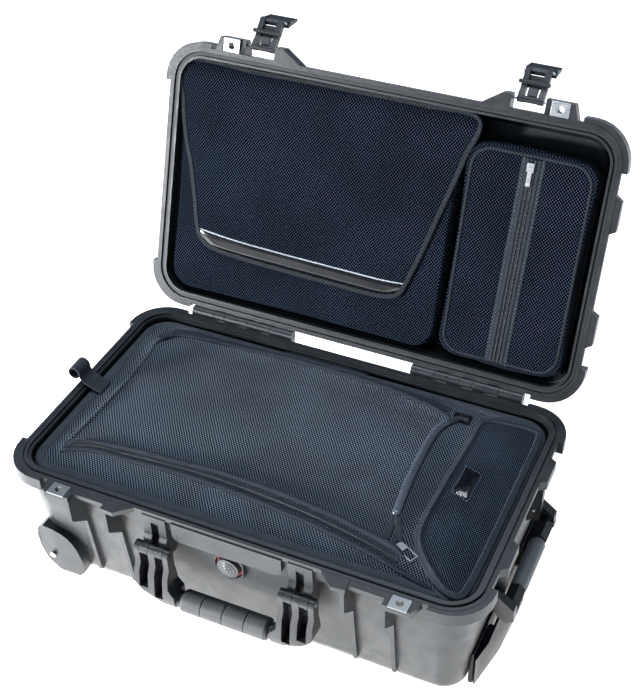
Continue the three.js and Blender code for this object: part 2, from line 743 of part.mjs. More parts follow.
// One arm of the front handle, on the +X side: three fingers that join round the grip's end.
function handleArm() {
  const at = HANDLE_JOINTS;
  const section = prismX([
    [HANDLE_Y + 5.4, HANDLE_Z - 2], [HANDLE_Y - 6.6, HANDLE_Z - 1], [HANDLE_Y - 6.6, 100],
    [GRIP_Y - 8, 90], [GRIP_Y - 12, 66], [GRIP_Y - 11, 54], [GRIP_Y - 6, 46.5],
    [GRIP_Y + 4, 45.5], [GRIP_Y + 11.5, 50], [GRIP_Y + 12.5, 80], [HANDLE_Y + 5.4, 100],
  ], GRIP_L / 2 + 3, at[5]);
  const outline = prismY([
    [GRIP_L / 2 + 3, 45], [60, 47.5], [72, 54], [80, 57.5], [90, 62.5], [99, 68.5], [at[5], 75],
    [at[5], 126], [at[0], 126], [at[0], 77], [60, 71], [GRIP_L / 2 + 3, 68],
  ], -200, -150);
  const arm = section.intersect(outline);
  const slots = [[at[1], at[2], 60.2], [at[3], at[4], 71]].flatMap(([from, to, low]) => [
    box(from - GAP, to + GAP, -200, GRIP_Y + 8, low, HANDLE_Z),
    box(from - GAP, to + GAP, -200, -150, 97, HANDLE_Z + 20),
  ]);
  const knuckleRods = handleFingers().map(([from, to]) => (
    rodX(from, to, HANDLE_Y, HANDLE_Z, HANDLE_R - 0.2)
  ));
  return join([cut(arm, slots), ...knuckleRods]);
}

function frontHandleFrame() {
  const core = rodX(-GRIP_L / 2 - 5, GRIP_L / 2 + 5, GRIP_Y, GRIP_Z, 7);
  const collar = rodX(GRIP_L / 2 - 1, GRIP_L / 2 + 5, GRIP_Y, GRIP_Z, 9.5);
  const half = handleArm().add(collar);
  const frame = join([half, half.mirror([1, 0, 0]), core]);
  return frame.subtract(rodX(-130, 130, HANDLE_Y, HANDLE_Z, PIN_R + GAP, 12));
}

// The rubber sleeve on the handle: a thick tube with ring grooves.
function frontGrip() {
  const half = GRIP_L / 2 - 2;
  const profile = [[7 + GAP, -half], [GRIP_R - 2, -half], [GRIP_R, -half + 3]];
  for (let i = 1; i <= 3; i += 1) {
    const at = -half + i * (half / 2);
    profile.push([GRIP_R, at - 0.8], [GRIP_R - 1, at - 0.5], [GRIP_R - 1, at + 0.5], [GRIP_R, at + 0.8]);
  }
  profile.push([GRIP_R, half - 3], [GRIP_R - 2, half], [7 + GAP, half], [7 + GAP, -half]);
  const geometry = new THREE.LatheGeometry(profile.map(([r, a]) => new THREE.Vector2(r, a)), ROUND);
  geometry.rotateZ(Math.PI / 2);
  geometry.translate(0, GRIP_Y, GRIP_Z);
  return solid(geometry);
}

function handlePin(side) {
  const end = HANDLE_JOINTS[5] + 0.4;
  return onSide(rodX(HANDLE_JOINTS[0] + 1, end, HANDLE_Y, HANDLE_Z, PIN_R, 12), side);
}

// ---------------------------------------------------------------- side handle

function sideHandleFrame() {
  const arm = prismY([
    [SIDE_X - 4, SIDE_Z + 1.6], [SIDE_X - 1.8, SIDE_Z + 3.9], [SIDE_X + 2.6, SIDE_Z + 4.6],
    [SIDE_X + 7, SIDE_Z], [SIDE_GRIP_X + 8, SIDE_GRIP_Z + 12], [SIDE_GRIP_X + 9, SIDE_GRIP_Z - 4],
    [SIDE_GRIP_X, SIDE_GRIP_Z - 10], [SIDE_GRIP_X - 9, SIDE_GRIP_Z - 4], [SIDE_X - 4, SIDE_Z - 6],
  ], SIDE_Y - 2 + GAP, SIDE_Y + 9);
  const shoulder = prismY([
    [SIDE_GRIP_X - 8, SIDE_GRIP_Z + 6], [SIDE_GRIP_X + 2, SIDE_GRIP_Z + 10],
    [SIDE_GRIP_X + 9, SIDE_GRIP_Z + 3], [SIDE_GRIP_X + 5, SIDE_GRIP_Z - 8],
    [SIDE_GRIP_X - 5, SIDE_GRIP_Z - 8],
  ], SIDE_GRIP_L / 2 - 1, SIDE_Y + 1);
  const half = arm.add(shoulder);
  const core = rodY(SIDE_GRIP_X, -SIDE_GRIP_L / 2 - 2, SIDE_GRIP_L / 2 + 2, SIDE_GRIP_Z, 6);
  const frame = join([half, half.mirror([0, 1, 0]), core]);
  return frame.subtract(rodY(SIDE_X, -90, 90, SIDE_Z, 2.3, 12));
}

function sideGrip() {
  const half = SIDE_GRIP_L / 2 - 2;
  const r = SIDE_GRIP_R;
  const profile = [
    [6 + GAP, -half], [r - 2, -half], [r, -half + 4], [r, half - 4], [r - 2, half], [6 + GAP, half],
    [6 + GAP, -half],
  ];
  const geometry = new THREE.LatheGeometry(profile.map(([a, b]) => new THREE.Vector2(a, b)), ROUND);
  geometry.translate(SIDE_GRIP_X, 0, SIDE_GRIP_Z);
  return solid(geometry);
}

function sidePin(side) {
  const y0 = SIDE_Y - 13;
  const pin = rodY(SIDE_X, y0, SIDE_Y + 9.6, SIDE_Z, 2, 12);
  return side > 0 ? pin : pin.mirror([0, 1, 0]);
}

// ---------------------------------------------------------------- trolley

function trolleySleeve(side) {
  const y = side * TUBE_Y;
  const halfY = TUBE_W / 2 + 0.5 + SLEEVE_T;
  const halfZ = TUBE_H / 2 + 0.5 + SLEEVE_T;
  const outer = box(-200, 250, y - halfY, y + halfY, TUBE_Z - halfZ, TUBE_Z + halfZ);
  const bore = box(
    -210, 260, y - TUBE_W / 2 - 0.5, y + TUBE_W / 2 + 0.5, TUBE_Z - TUBE_H / 2 - 0.5,
    TUBE_Z + TUBE_H / 2 + 0.5,
  );
  return outer.subtract(bore);
}

function trolleyTube(side) {
  const y = side * TUBE_Y;
  const outer = box(-196, BEZEL_X, y - TUBE_W / 2, y + TUBE_W / 2, TUBE_Z - TUBE_H / 2, TUBE_Z + TUBE_H / 2);
  const bore = box(-204, BEZEL_X - 2, y - TUBE_W / 2 + 1.4, y + TUBE_W / 2 - 1.4,
    TUBE_Z - TUBE_H / 2 + 1.4, TUBE_Z + TUBE_H / 2 - 1.4);
  return outer.subtract(bore);
}

// The pull: a bowed bar across the end of the case, with room for fingers behind it.
function trolleyGrip() {
  const x0 = BEZEL_X + GAP;
  const bow = prismZ([
    [x0, -111], [262.4, -114], [272.6, -60], [275.2, -10], [275.2, 10], [272.6, 60], [262.4, 114],
    [x0, 111],
  ], TROLLEY_Z0, TROLLEY_Z1);
  const slope = prismY([[276, 24], [267, TROLLEY_Z1 + 1], [290, TROLLEY_Z1 + 1], [290, 24]], -120, 120);
  const fingers = box(250, 264.5, -62, 62, TROLLEY_Z0 - 1, TROLLEY_Z1 + 1);
  const button = box(266.5, 290, -13 - GAP, 13 + GAP, 9 - GAP, 21 + GAP);
  return cut(bow, [slope, fingers, button]);
}

function trolleyButton() {
  return box(270, 276.4, -13, 13, 9, 21);
}

// A dark frame on the end wall that the pull sits against.
function trolleyBezel() {
  const plate = prismY([
    [254.4, 3.4], [BEZEL_X, 3.4], [BEZEL_X, 52], [257.2, 52], [254.4, 17],
  ], -112, 112);
  const holes = [-1, 1].map((side) => box(
    250, 270, side * TUBE_Y - TUBE_W / 2 - 0.6, side * TUBE_Y + TUBE_W / 2 + 0.6,
    TUBE_Z - TUBE_H / 2 - 0.6, TUBE_Z + TUBE_H / 2 + 0.6,
  ));
  return cut(plate, holes);
}

function channelCover() {
  return box(-204, 244, -100, 100, 0, 2);
}

// ---------------------------------------------------------------- wheels

// A thin dished cover, its outer end leaning back round the corner of the case.
function wheelCover() {
  const front = -COVER_Y - COVER_T;
  const cover = prismY(coverOutline(0), front, -COVER_Y - GAP);
  const pocket = prismY(coverOutline(3), front + 2.2, -COVER_Y + 2);
  const corner = prismZ([[-229, front], [-229, -170], [-270, -170], [-270, front + 3.6]], -5, 120);
  const boss = rodY(WHEEL_X, front + 2, -COVER_Y - GAP, WHEEL_Z, 6, 16);
  const shell = cover.subtract(pocket).add(boss).subtract(corner);
  return shell.subtract(rodY(WHEEL_X, -160, -130, WHEEL_Z, 3.3, 12));
}

function wheelTyre() {
  const half = WHEEL_W / 2;
  const profile = [
    [15, -half], [WHEEL_R - 3, -half], [WHEEL_R, -half + 4], [WHEEL_R, half - 4],
    [WHEEL_R - 3, half], [15, half], [15, -half],
  ];
  const geometry = new THREE.LatheGeometry(profile.map(([a, b]) => new THREE.Vector2(a, b)), 28);
  geometry.translate(WHEEL_X, -WHEEL_Y, WHEEL_Z);
  return solid(geometry);
}

function wheelHub() {
  const half = WHEEL_W / 2 - 1;
  const profile = [
    [3.3, -half], [7, -half], [7, -3], [15 - GAP, -3], [15 - GAP, 3], [7, 3], [7, half], [3.3, half],
    [3.3, -half],
  ];
  const geometry = new THREE.LatheGeometry(profile.map(([a, b]) => new THREE.Vector2(a, b)), ROUND);
  geometry.translate(WHEEL_X, -WHEEL_Y, WHEEL_Z);
  return solid(geometry);
}

function wheelAxle() {
  const head = -COVER_Y - COVER_T - 2;
  const shaft = rodY(WHEEL_X, head, -WHEEL_Y + 17, WHEEL_Z, 3, 12);
  return shaft.add(rodY(WHEEL_X, head - 0.6, -COVER_Y - COVER_T - GAP, WHEEL_Z, 3.8, 16));
}

// ---------------------------------------------------------------- purge valve

function lathedY(profile, facets) {
  const geometry = new THREE.LatheGeometry(profile.map(([a, b]) => new THREE.Vector2(a, b)), facets);
  geometry.translate(VALVE_X, 0, VALVE_Z);
  return solid(geometry);
}

function valveBody() {
  const seat = VALVE_SEAT - GAP;
  return lathedY([
    [2.6, seat - 7], [5, seat - 7], [5, seat - 3.2], [13.4, seat - 3.2], [13.4, seat],
    [8, seat], [8, -130], [2.6, -130], [2.6, seat - 7],
  ], 20);
}

function valveSeal() {
  const seat = VALVE_SEAT - GAP;
  return lathedY([
    [13.4 + GAP, seat - 1.2], [15.8, seat - 1.2], [15.8, seat], [13.4 + GAP, seat],
    [13.4 + GAP, seat - 1.2],
  ], 20);
}

function valveKnob() {
  const back = VALVE_SEAT - GAP - 3.2 - GAP;
  return lathedY([
    [0, back - 7.2], [3.4, back - 7.2], [3.8, back - 6.2], [6.4, back - 6.2], [6.8, back - 5.2],
    [9.4, back - 5.2], [9.8, back - 4.2], [13, back - 3.8], [13, back], [5.3, back],
    [5.3, back - 4], [2.3, back - 4], [2.3, -138], [0, -138],
  ], 20);
}

function valveNut() {
  const inside = -137;
  const nut = rodY(VALVE_X, inside, inside + 5, VALVE_Z, 13, 6);
  return nut.subtract(rodY(VALVE_X, -160, -120, VALVE_Z, 8 + GAP, 16));
}

// ---------------------------------------------------------------- bags in the base

function clothingBag() {
  const bag = loft([
    [FLOOR_Z + 1, 238, 120, 18],
    [FLOOR_Z + 9, 245, 128, 22],
    [148, 253, 138, 26],
    [155, 249, 134, 26],
    [BAG_TOP, 236, 122, 22],
  ]);
  const corner = box(-300, WHEEL_X + WHEEL_R + 8, -160, -WHEEL_Y + WHEEL_W / 2 + 8, 0, 64);
  const slot = box(
    VALVE_X - 18, VALVE_X + 18, -160, -122, VALVE_Z - 18, VALVE_Z + 18,
  );
  return cut(bag, [corner, corner.mirror([0, 1, 0]), slot]);
}

// The lift handle of the bag: a webbing strap that stands up a little, with a clear tube on it.
function liftStrap() {
  const seat = BAG_TOP + GAP;
  return prismX([
    [-80, seat], [-76, seat], [-60, 161.4], [-35, 162.8], [4, 163.2], [40, 162.8],
    [84, 161], [98, seat], [102, seat], [86, 162.8], [40, 164.6], [4, 165],
    [-35, 164.6], [-62, 163.2],
  ], 137, 151);
}

function strapRing(x, y) {
  const z = BAG_TOP + GAP;
  const ring = box(x - 10.5, x + 10.5, y - 7, y + 7, z, z + 2.4);
  return ring.subtract(box(x - 7.5, x + 7.5, y - 4, y + 4, z - 1, z + 4));
}

function pouchFlap() {
  return prismZ([
    [181, 80], [182, 108], [190, 119], [207, 123], [236, 127], [249, 120], [252, 30],
    [253, -68], [250, -115], [245, -130], [236, -134], [224, -128], [206, -112],
    [188, -91], [179, -71], [176, -45], [177, 10],
  ], BAG_TOP + GAP, 161.9);
}

function pouchPatch() {
  return prismZ([[191, 34], [208, 28], [209, -9], [192, -3]], 161.9 + GAP, 163.7);
}

// The slider of the bag's zip with its long ring pull, lying along the zip.
function bagZipSlider() {
  const z = BAG_TOP + GAP;
  const slider = box(-6, 5, -4.5, 4.5, z, z + 3.4);
  const ring = box(-7, 20, -5.6, 5.6, z + 1, z + 2.8);
  const holes = [box(-5.4, 3, -4, 4, z + 3.5, z + 9), box(4.6, 18.4, -4, 4, z - 1, z + 9)];
  return cut(slider.add(ring), holes).rotate([0, 0, -28]).translate([170, -96, 0]);
}

// ---------------------------------------------------------------- bags in the lid, drawn closed

function laptopSleeve() {
  return loft([
    [171.4, 150, 112, 22], [174, 160, 124, 26], [202, 168, 130, 26], [206, 160, 122, 22],
  ]).translate([-78, 4, 0]);
}

// The flap hangs from the far edge of the sleeve, tapering to a rounded foot.
function sleeveFlap() {
  const outline = [
    [-250, -124], [104, -128], [98, -92], [78, -16], [53, 66], [38, 84], [8, 88], [-60, 87],
    [-150, 85], [-197, 81], [-221, 64], [-237, -16], [-250, -67],
  ];
  return prismZ(outline, 168.5, 171.4 - GAP);
}

function toiletryBag() {
  return loft([
    [169.4, 64, 114, 16], [172, 71, 120, 20], [200, 74, 124, 22], [206, 68, 118, 20],
  ]).translate([177, 10, 0]);
}

function toiletryZip() {
  const top = 169.4 - GAP;
  const slider = box(171, 179, -103, -93, top - 2.4, top);
  const pull = box(172.5, 177.5, -95, -77, top - 2, top - 0.6);
  return slider.add(pull);
}

// ---------------------------------------------------------------- assembly

place('base_shell', baseShell(), RESIN);
place('lid_shell', lidShell(), RESIN, OPEN);
place('lid_gasket', gasket(), SEAL, OPEN);

for (const [label, side] of [['left', -1], ['right', 1]]) {
  place(`hinge_pin_${label}`, hingePin(side * HINGE_X), STEEL);
  place(`base_padlock_plate_${label}`, padlockPlate(side * LUG_X, RIM_Z - GAP - PLATE_T), STEEL);
  place(`lid_padlock_plate_${label}`, padlockPlate(side * LUG_X, RIM_Z + GAP), STEEL, OPEN);
  const latchPin = rodX(
    side * LATCH_X - 22, side * LATCH_X + 22, LATCH_Y, LATCH_Z, PIN_R, 12,
  );
  place(`latch_pin_${label}`, latchPin, STEEL, OPEN);
  place(`latch_body_${label}`, latchBody(side), RESIN, LATCH_OPEN);
  place(`latch_block_${label}`, latchBlock(side), RUBBER, LATCH_OPEN);
  place(`latch_lever_${label}`, latchLever(side), RESIN, LEVER_OPEN);
  const leverPin = rodX(side * LATCH_X - 17.5, side * LATCH_X + 17.5, LEVER_Y, LEVER_Z, 1.3, 12);
  place(`lever_pin_${label}`, leverPin, STEEL, LATCH_OPEN);
  place(`handle_pin_${label}`, handlePin(side), STEEL);
}

place('front_handle_frame', frontHandleFrame(), RESIN);
place('front_handle_grip', frontGrip(), RUBBER);
place('side_handle_frame', sideHandleFrame(), GLOSS);
place('side_handle_grip', sideGrip(), RUBBER);
place('side_pin_front', sidePin(-1), STEEL);
place('side_pin_back', sidePin(1), STEEL);

place('trolley_grip', trolleyGrip(), GLOSS);
place('trolley_button', trolleyButton(), RUBBER);
place('trolley_bezel', trolleyBezel(), GLOSS);
place('trolley_cover', channelCover(), RESIN);
for (const [label, side] of [['front', -1], ['back', 1]]) {
  place(`trolley_sleeve_${label}`, trolleySleeve(side), ALLOY);
  place(`trolley_tube_${label}`, trolleyTube(side), ALLOY);
}

for (const [label, side] of [['front', 1], ['back', -1]]) {
  const flip = (body) => (side > 0 ? body : body.mirror([0, 1, 0]));
  place(`wheel_cover_${label}`, flip(wheelCover()), RESIN);
  place(`wheel_tyre_${label}`, flip(wheelTyre()), TYRE);
  place(`wheel_hub_${label}`, flip(wheelHub()), GLOSS);
  place(`wheel_axle_${label}`, flip(wheelAxle()), STEEL);
}

place('purge_valve_body', valveBody(), GLOSS);
place('purge_valve_seal', valveSeal(), RED);
place('purge_valve_knob', valveKnob(), GLOSS);
place('purge_valve_nut', valveNut(), GLOSS);

place('clothing_bag', clothingBag(), MESH);
place('lift_strap', liftStrap(), WEBBING);
place('strap_ring', strapRing(160, 112.5), STEEL);
place('pouch_flap', pouchFlap(), MESH);
place('pouch_patch', pouchPatch(), VINYL);
place('bag_zip_slider', bagZipSlider(), STEEL);

place('laptop_sleeve', laptopSleeve(), MESH, OPEN);
place('sleeve_flap', sleeveFlap(), MESH, OPEN);
place('toiletry_bag', toiletryBag(), MESH, OPEN);
place('toiletry_zip_slider', toiletryZip(), STEEL, OPEN);

export default group;
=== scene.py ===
"""Looks of the rolling flight case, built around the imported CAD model. Metres, same frame as the CAD."""

import json
import math
from collections import namedtuple

import bmesh
import bpy
import numpy as np
from mathutils import Matrix, Vector, noise
from mathutils.bvhtree import BVHTree


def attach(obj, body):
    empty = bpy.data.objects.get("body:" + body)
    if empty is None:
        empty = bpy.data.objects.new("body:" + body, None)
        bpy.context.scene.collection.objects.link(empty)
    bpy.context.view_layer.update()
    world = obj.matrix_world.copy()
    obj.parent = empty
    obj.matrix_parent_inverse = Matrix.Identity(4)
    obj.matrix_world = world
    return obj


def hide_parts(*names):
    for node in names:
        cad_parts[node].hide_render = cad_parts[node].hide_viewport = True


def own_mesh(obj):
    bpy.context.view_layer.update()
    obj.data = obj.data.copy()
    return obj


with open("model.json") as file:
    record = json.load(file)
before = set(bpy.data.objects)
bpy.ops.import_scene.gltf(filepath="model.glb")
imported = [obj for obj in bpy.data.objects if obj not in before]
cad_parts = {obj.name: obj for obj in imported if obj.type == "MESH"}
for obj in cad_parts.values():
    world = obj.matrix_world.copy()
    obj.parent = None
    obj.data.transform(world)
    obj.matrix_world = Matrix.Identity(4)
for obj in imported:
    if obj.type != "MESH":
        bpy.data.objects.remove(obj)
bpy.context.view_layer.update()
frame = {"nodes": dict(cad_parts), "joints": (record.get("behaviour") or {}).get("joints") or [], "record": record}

# ---------------------------------------------------------------- camera

EYE = (0.47927, -0.90055, 1.1263)
AZIMUTH = math.radians(23.67)      # turned left of +Y
TILT = math.radians(39.65)         # looking down
ROLL = math.radians(-0.39)
LENS = 65.6
SHIFT = (-0.0596, 0.0175)


def make_camera():
    forward = Vector((
        -math.sin(AZIMUTH) * math.cos(TILT),
        math.cos(AZIMUTH) * math.cos(TILT),
        -math.sin(TILT),
    ))
    flat_right = forward.cross(Vector((0, 0, 1))).normalized()
    flat_up = flat_right.cross(forward)
    right = math.cos(ROLL) * flat_right + math.sin(ROLL) * flat_up
    up = right.cross(forward)
    data = bpy.data.cameras.new("camera")
    data.lens = LENS
    data.sensor_width = 36
    data.shift_x, data.shift_y = SHIFT
    data.clip_end = 20
    camera = bpy.data.objects.new("camera", data)
    camera.matrix_world = Matrix((
        (right.x, up.x, -forward.x, EYE[0]),
        (right.y, up.y, -forward.y, EYE[1]),
        (right.z, up.z, -forward.z, EYE[2]),
        (0, 0, 0, 1),
    ))
    bpy.context.scene.collection.objects.link(camera)
    bpy.context.scene.camera = camera


# ---------------------------------------------------------------- light and floor

FLOOR_GLOW = (3.1, 1.05)          # painted pool of light: the floor glows brightest just in front of the case and plainer further off
GLOW_SPOT = (-0.4, -0.62, 0.0)
GLOW_REACH = (0.38, 1.15)


def area_light(name, place, target, size, power, colour=(1, 1, 1), spread=180):
    data = bpy.data.lights.new(name, "AREA")
    data.shape = "RECTANGLE"
    data.size, data.size_y = size
    data.energy = power
    data.color = colour
    data.spread = math.radians(spread)
    light = bpy.data.objects.new(name, data)
    light.location = place
    aim = Vector(target) - Vector(place)
    light.rotation_euler = aim.to_track_quat("-Z", "Y").to_euler()
    bpy.context.scene.collection.objects.link(light)


def make_floor():
    mesh = bpy.data.meshes.new("floor")
    mesh.from_pydata([(-4, -4, 0), (4, -4, 0), (4, 4, 0), (-4, 4, 0)], [], [(0, 1, 2, 3)])
    floor = bpy.data.objects.new("floor", mesh)
    bpy.context.scene.collection.objects.link(floor)
    material, tree, shader = new_material("floor", (0.85, 0.85, 0.85), 0.7)
    place = add(tree, "TexCoord").outputs["Object"]
    away = add(tree, "VectorMath", {"operation": "DISTANCE"}, {0: place, 1: GLOW_SPOT})
    # painted pool of light: the floor's emission is strongest at GLOW_SPOT and fades over GLOW_REACH
    glow = ramp(tree, away.outputs["Value"], *GLOW_REACH, *FLOOR_GLOW)
    tree.links.new(glow, shader.inputs["Emission Strength"])
    shader.inputs["Emission Color"].default_value = (1, 0.99, 0.97, 1)
    mesh.materials.append(material)


def make_studio():
    scene = bpy.context.scene
    scene.view_settings.view_transform = "Standard"
    world = bpy.data.worlds.new("studio")
    world.use_nodes = True
    world.node_tree.nodes["Background"].inputs["Color"].default_value = (0.62, 0.78, 1, 1)
    world.node_tree.nodes["Background"].inputs["Strength"].default_value = 0.3
    scene.world = world
    area_light("key", (-2.0, -1.9, 0.55), (0, -0.1, 0.1), (0.5, 0.4), 9, (0.95, 0.97, 1), 40)
    area_light("top", (-0.3, 0.5, 2.3), (0, 0, 0.1), (2.2, 1.0), 42, (0.82, 0.91, 1))
    make_floor()


# ---------------------------------------------------------------- shader helpers

def new_material(name, colour, roughness, metallic=0.0):
    material = bpy.data.materials.new(name)
    material.use_nodes = True
    shader = material.node_tree.nodes["Principled BSDF"]
    shader.inputs["Base Color"].default_value = (*colour, 1)
    shader.inputs["Roughness"].default_value = roughness
    shader.inputs["Metallic"].default_value = metallic
    return material, material.node_tree, shader


def add(tree, kind, settings=None, inputs=None):
    """A new node, with its settings, and its inputs set to values or linked to sockets."""
    item = tree.nodes.new("ShaderNode" + kind)
    for key, value in (settings or {}).items():
        setattr(item, key, value)
    for key, value in (inputs or {}).items():
        if isinstance(value, bpy.types.NodeSocket):
            tree.links.new(value, item.inputs[key])
        else:
            item.inputs[key].default_value = value
    return item


def maths(tree, operation, a, b=0.0):
    return add(tree, "Math", {"operation": operation}, {0: a, 1: b}).outputs[0]


def ramp(tree, value, low, high, start=0.0, end=1.0):
    """value from low to high, eased, as start to end."""
    item = add(tree, "MapRange", {"interpolation_type": "SMOOTHSTEP"}, {
        "Value": value,
        "From Min": low,
        "From Max": high,
        "To Min": start,
        "To Max": end,
    })
    return item.outputs["Result"]


def blotches(tree, scale, detail=3.0, coordinates=None):
    """Noise from 0 to 1 with features of 1 / scale metres."""
    where = coordinates or add(tree, "TexCoord").outputs["Object"]
    return add(tree, "TexNoise", None, {"Vector": where, "Scale": scale, "Detail": detail}).outputs["Fac"]


def mix(tree, amount, a, b):
    item = add(tree, "Mix", {"data_type": "RGBA"}, {"Factor": amount})
    for socket, colour in ((item.inputs[6], a), (item.inputs[7], b)):
        if isinstance(colour, bpy.types.NodeSocket):
            tree.links.new(colour, socket)
        else:
            socket.default_value = (*colour, 1)
    return item.outputs[2]


def bump(tree, shader, height, depth, strength=1.0):
    item = add(tree, "Bump", None, {"Height": height, "Distance": depth, "Strength": strength})
    tree.links.new(item.outputs["Normal"], shader.inputs["Normal"])


def weave_uv(tree):
    """The cloth's own flat coordinates, in metres, as two sockets."""
    flat = add(tree, "UVMap", {"uv_map": "weave"}).outputs["UV"]
    parts = add(tree, "SeparateXYZ", None, {"Vector": flat})
    return parts.outputs["X"], parts.outputs["Y"], flat


def waves(tree, value, pitch, phase=0.0):
    """A cosine of that pitch in metres along value."""
    turned = maths(tree, "MULTIPLY", value, 2 * math.pi / pitch)
    return maths(tree, "COSINE", maths(tree, "ADD", turned, phase))


# ---------------------------------------------------------------- materials

def moulded_plastic(name, colour, roughness, grain, grain_depth, dust=0.25, specular=0.5):
    """Moulded resin: fine pebble grain, faint flow blotches and a trace of dust."""
    material, tree, shader = new_material(name, colour, roughness)
    large = blotches(tree, 14)
    fine = blotches(tree, grain, 2.0)
    dusty = tuple(min(1.0, channel * 1.5 + 0.006) for channel in colour)
    shader.inputs["Specular IOR Level"].default_value = specular
    worn = ramp(tree, large, 0.42, 0.75, 0.0, dust)
    tree.links.new(mix(tree, worn, colour, dusty), shader.inputs["Base Color"])
    gloss = ramp(tree, blotches(tree, 60), 0.3, 0.7, roughness - 0.05, roughness + 0.07)
    tree.links.new(gloss, shader.inputs["Roughness"])
    bump(tree, shader, fine, grain_depth)
    return material


def ribbed_rubber(name, colour, roughness):
    """Soft grip rubber: matt, with a fine sandy skin and paler rubbed patches."""
    material, tree, shader = new_material(name, colour, roughness)
    rubbed = ramp(tree, blotches(tree, 45), 0.45, 0.7, 0.0, 0.5)
    pale = tuple(channel * 1.35 for channel in colour)
    tree.links.new(mix(tree, rubbed, colour, pale), shader.inputs["Base Color"])
    bump(tree, shader, blotches(tree, 1600, 2.0), 0.00012)
    return material


def brushed_metal(name, colour, roughness):
    """Brushed metal: fine streaks along X in its roughness and surface."""
    material, tree, shader = new_material(name, colour, roughness, 1.0)
    place = add(tree, "TexCoord").outputs["Object"]
    long = add(tree, "Mapping", None, {"Vector": place, "Scale": (0.04, 1, 1)}).outputs["Vector"]
    streaks = blotches(tree, 2600, 2.0, long)
    gloss = ramp(tree, streaks, 0.3, 0.7, roughness - 0.08, roughness + 0.1)
    tree.links.new(gloss, shader.inputs["Roughness"])
    stained = ramp(tree, blotches(tree, 90), 0.5, 0.8, 0.0, 0.35)
    dull = tuple(channel * 0.7 for channel in colour)
    tree.links.new(mix(tree, stained, colour, dull), shader.inputs["Base Color"])
    bump(tree, shader, streaks, 0.00003)
    return material


def spacer_mesh(name, thread, hole, across, rows, sheen):
    """Padded spacer fabric: staggered round holes between light diagonal threads."""
    material, tree, shader = new_material(name, thread, 0.85)
    u, v, flat = weave_uv(tree)
    sway = maths(tree, "MULTIPLY", maths(tree, "SUBTRACT", blotches(tree, 35, 1.0, flat), 0.5), across * 0.5)
    shifted = maths(tree, "ADD", u, sway)
    pattern = maths(tree, "MULTIPLY", waves(tree, shifted, across), waves(tree, v, 2 * rows))
    open_hole = ramp(tree, pattern, -0.4, -0.08)
    uneven = ramp(tree, blotches(tree, 9, 3.0, flat), 0.3, 0.72)
    darker = tuple(channel * 0.6 for channel in thread)
    fuzz = ramp(tree, blotches(tree, 1400, 1.0, flat), 0.35, 0.65, 0.0, 0.35)
    lit = mix(tree, fuzz, mix(tree, uneven, thread, darker), darker)
    # painted shade: the openings take the near-black hole colour, the shade inside the holes
    tree.links.new(mix(tree, open_hole, lit, hole), shader.inputs["Base Color"])
    shader.inputs["Sheen Weight"].default_value = sheen
    shader.inputs["Sheen Roughness"].default_value = 0.5
    shader.inputs["Specular IOR Level"].default_value = 0.0
    bump(tree, shader, maths(tree, "SUBTRACT", 1.0, open_hole), 0.0004, 0.6)
    return material


def ribbed_cloth(name, colour, pitch, roughness, specular=0.3):
    """Woven tape or webbing: cross ribs with a fine lengthwise yarn."""
    material, tree, shader = new_material(name, colour, roughness)
    u, v, flat = weave_uv(tree)
    ribs = waves(tree, v, pitch)
    yarn = waves(tree, maths(tree, "ADD", u, maths(tree, "MULTIPLY", v, 0.5)), pitch * 0.8)
    height = maths(tree, "ADD", maths(tree, "MULTIPLY", ribs, 0.6), maths(tree, "MULTIPLY", yarn, 0.4))
    # painted shade: the grooves between the ribs are darkened to 0.45 of the colour, following the bump height
    low = tuple(channel * 0.45 for channel in colour)
    faded = tuple(min(1.0, channel * 1.3) for channel in colour)
    body = mix(tree, ramp(tree, blotches(tree, 40, 3.0, flat), 0.4, 0.7), colour, faded)
    tree.links.new(mix(tree, ramp(tree, height, -0.6, 0.3), low, body), shader.inputs["Base Color"])
    shader.inputs["Specular IOR Level"].default_value = specular
    bump(tree, shader, height, 0.0003, 0.7)
    return material


def glossy_sheet(name, colour, roughness, coat):
    """Smooth vinyl: a clear coat over a slightly creased skin."""
    material, tree, shader = new_material(name, colour, roughness)
    shader.inputs["Coat Weight"].default_value = coat
    shader.inputs["Coat Roughness"].default_value = 0.06
    creases = blotches(tree, 30, 1.5)
    tree.links.new(ramp(tree, creases, 0.3, 0.75, roughness, roughness + 0.06), shader.inputs["Roughness"])
    bump(tree, shader, creases, 0.002, 0.15)
    return material


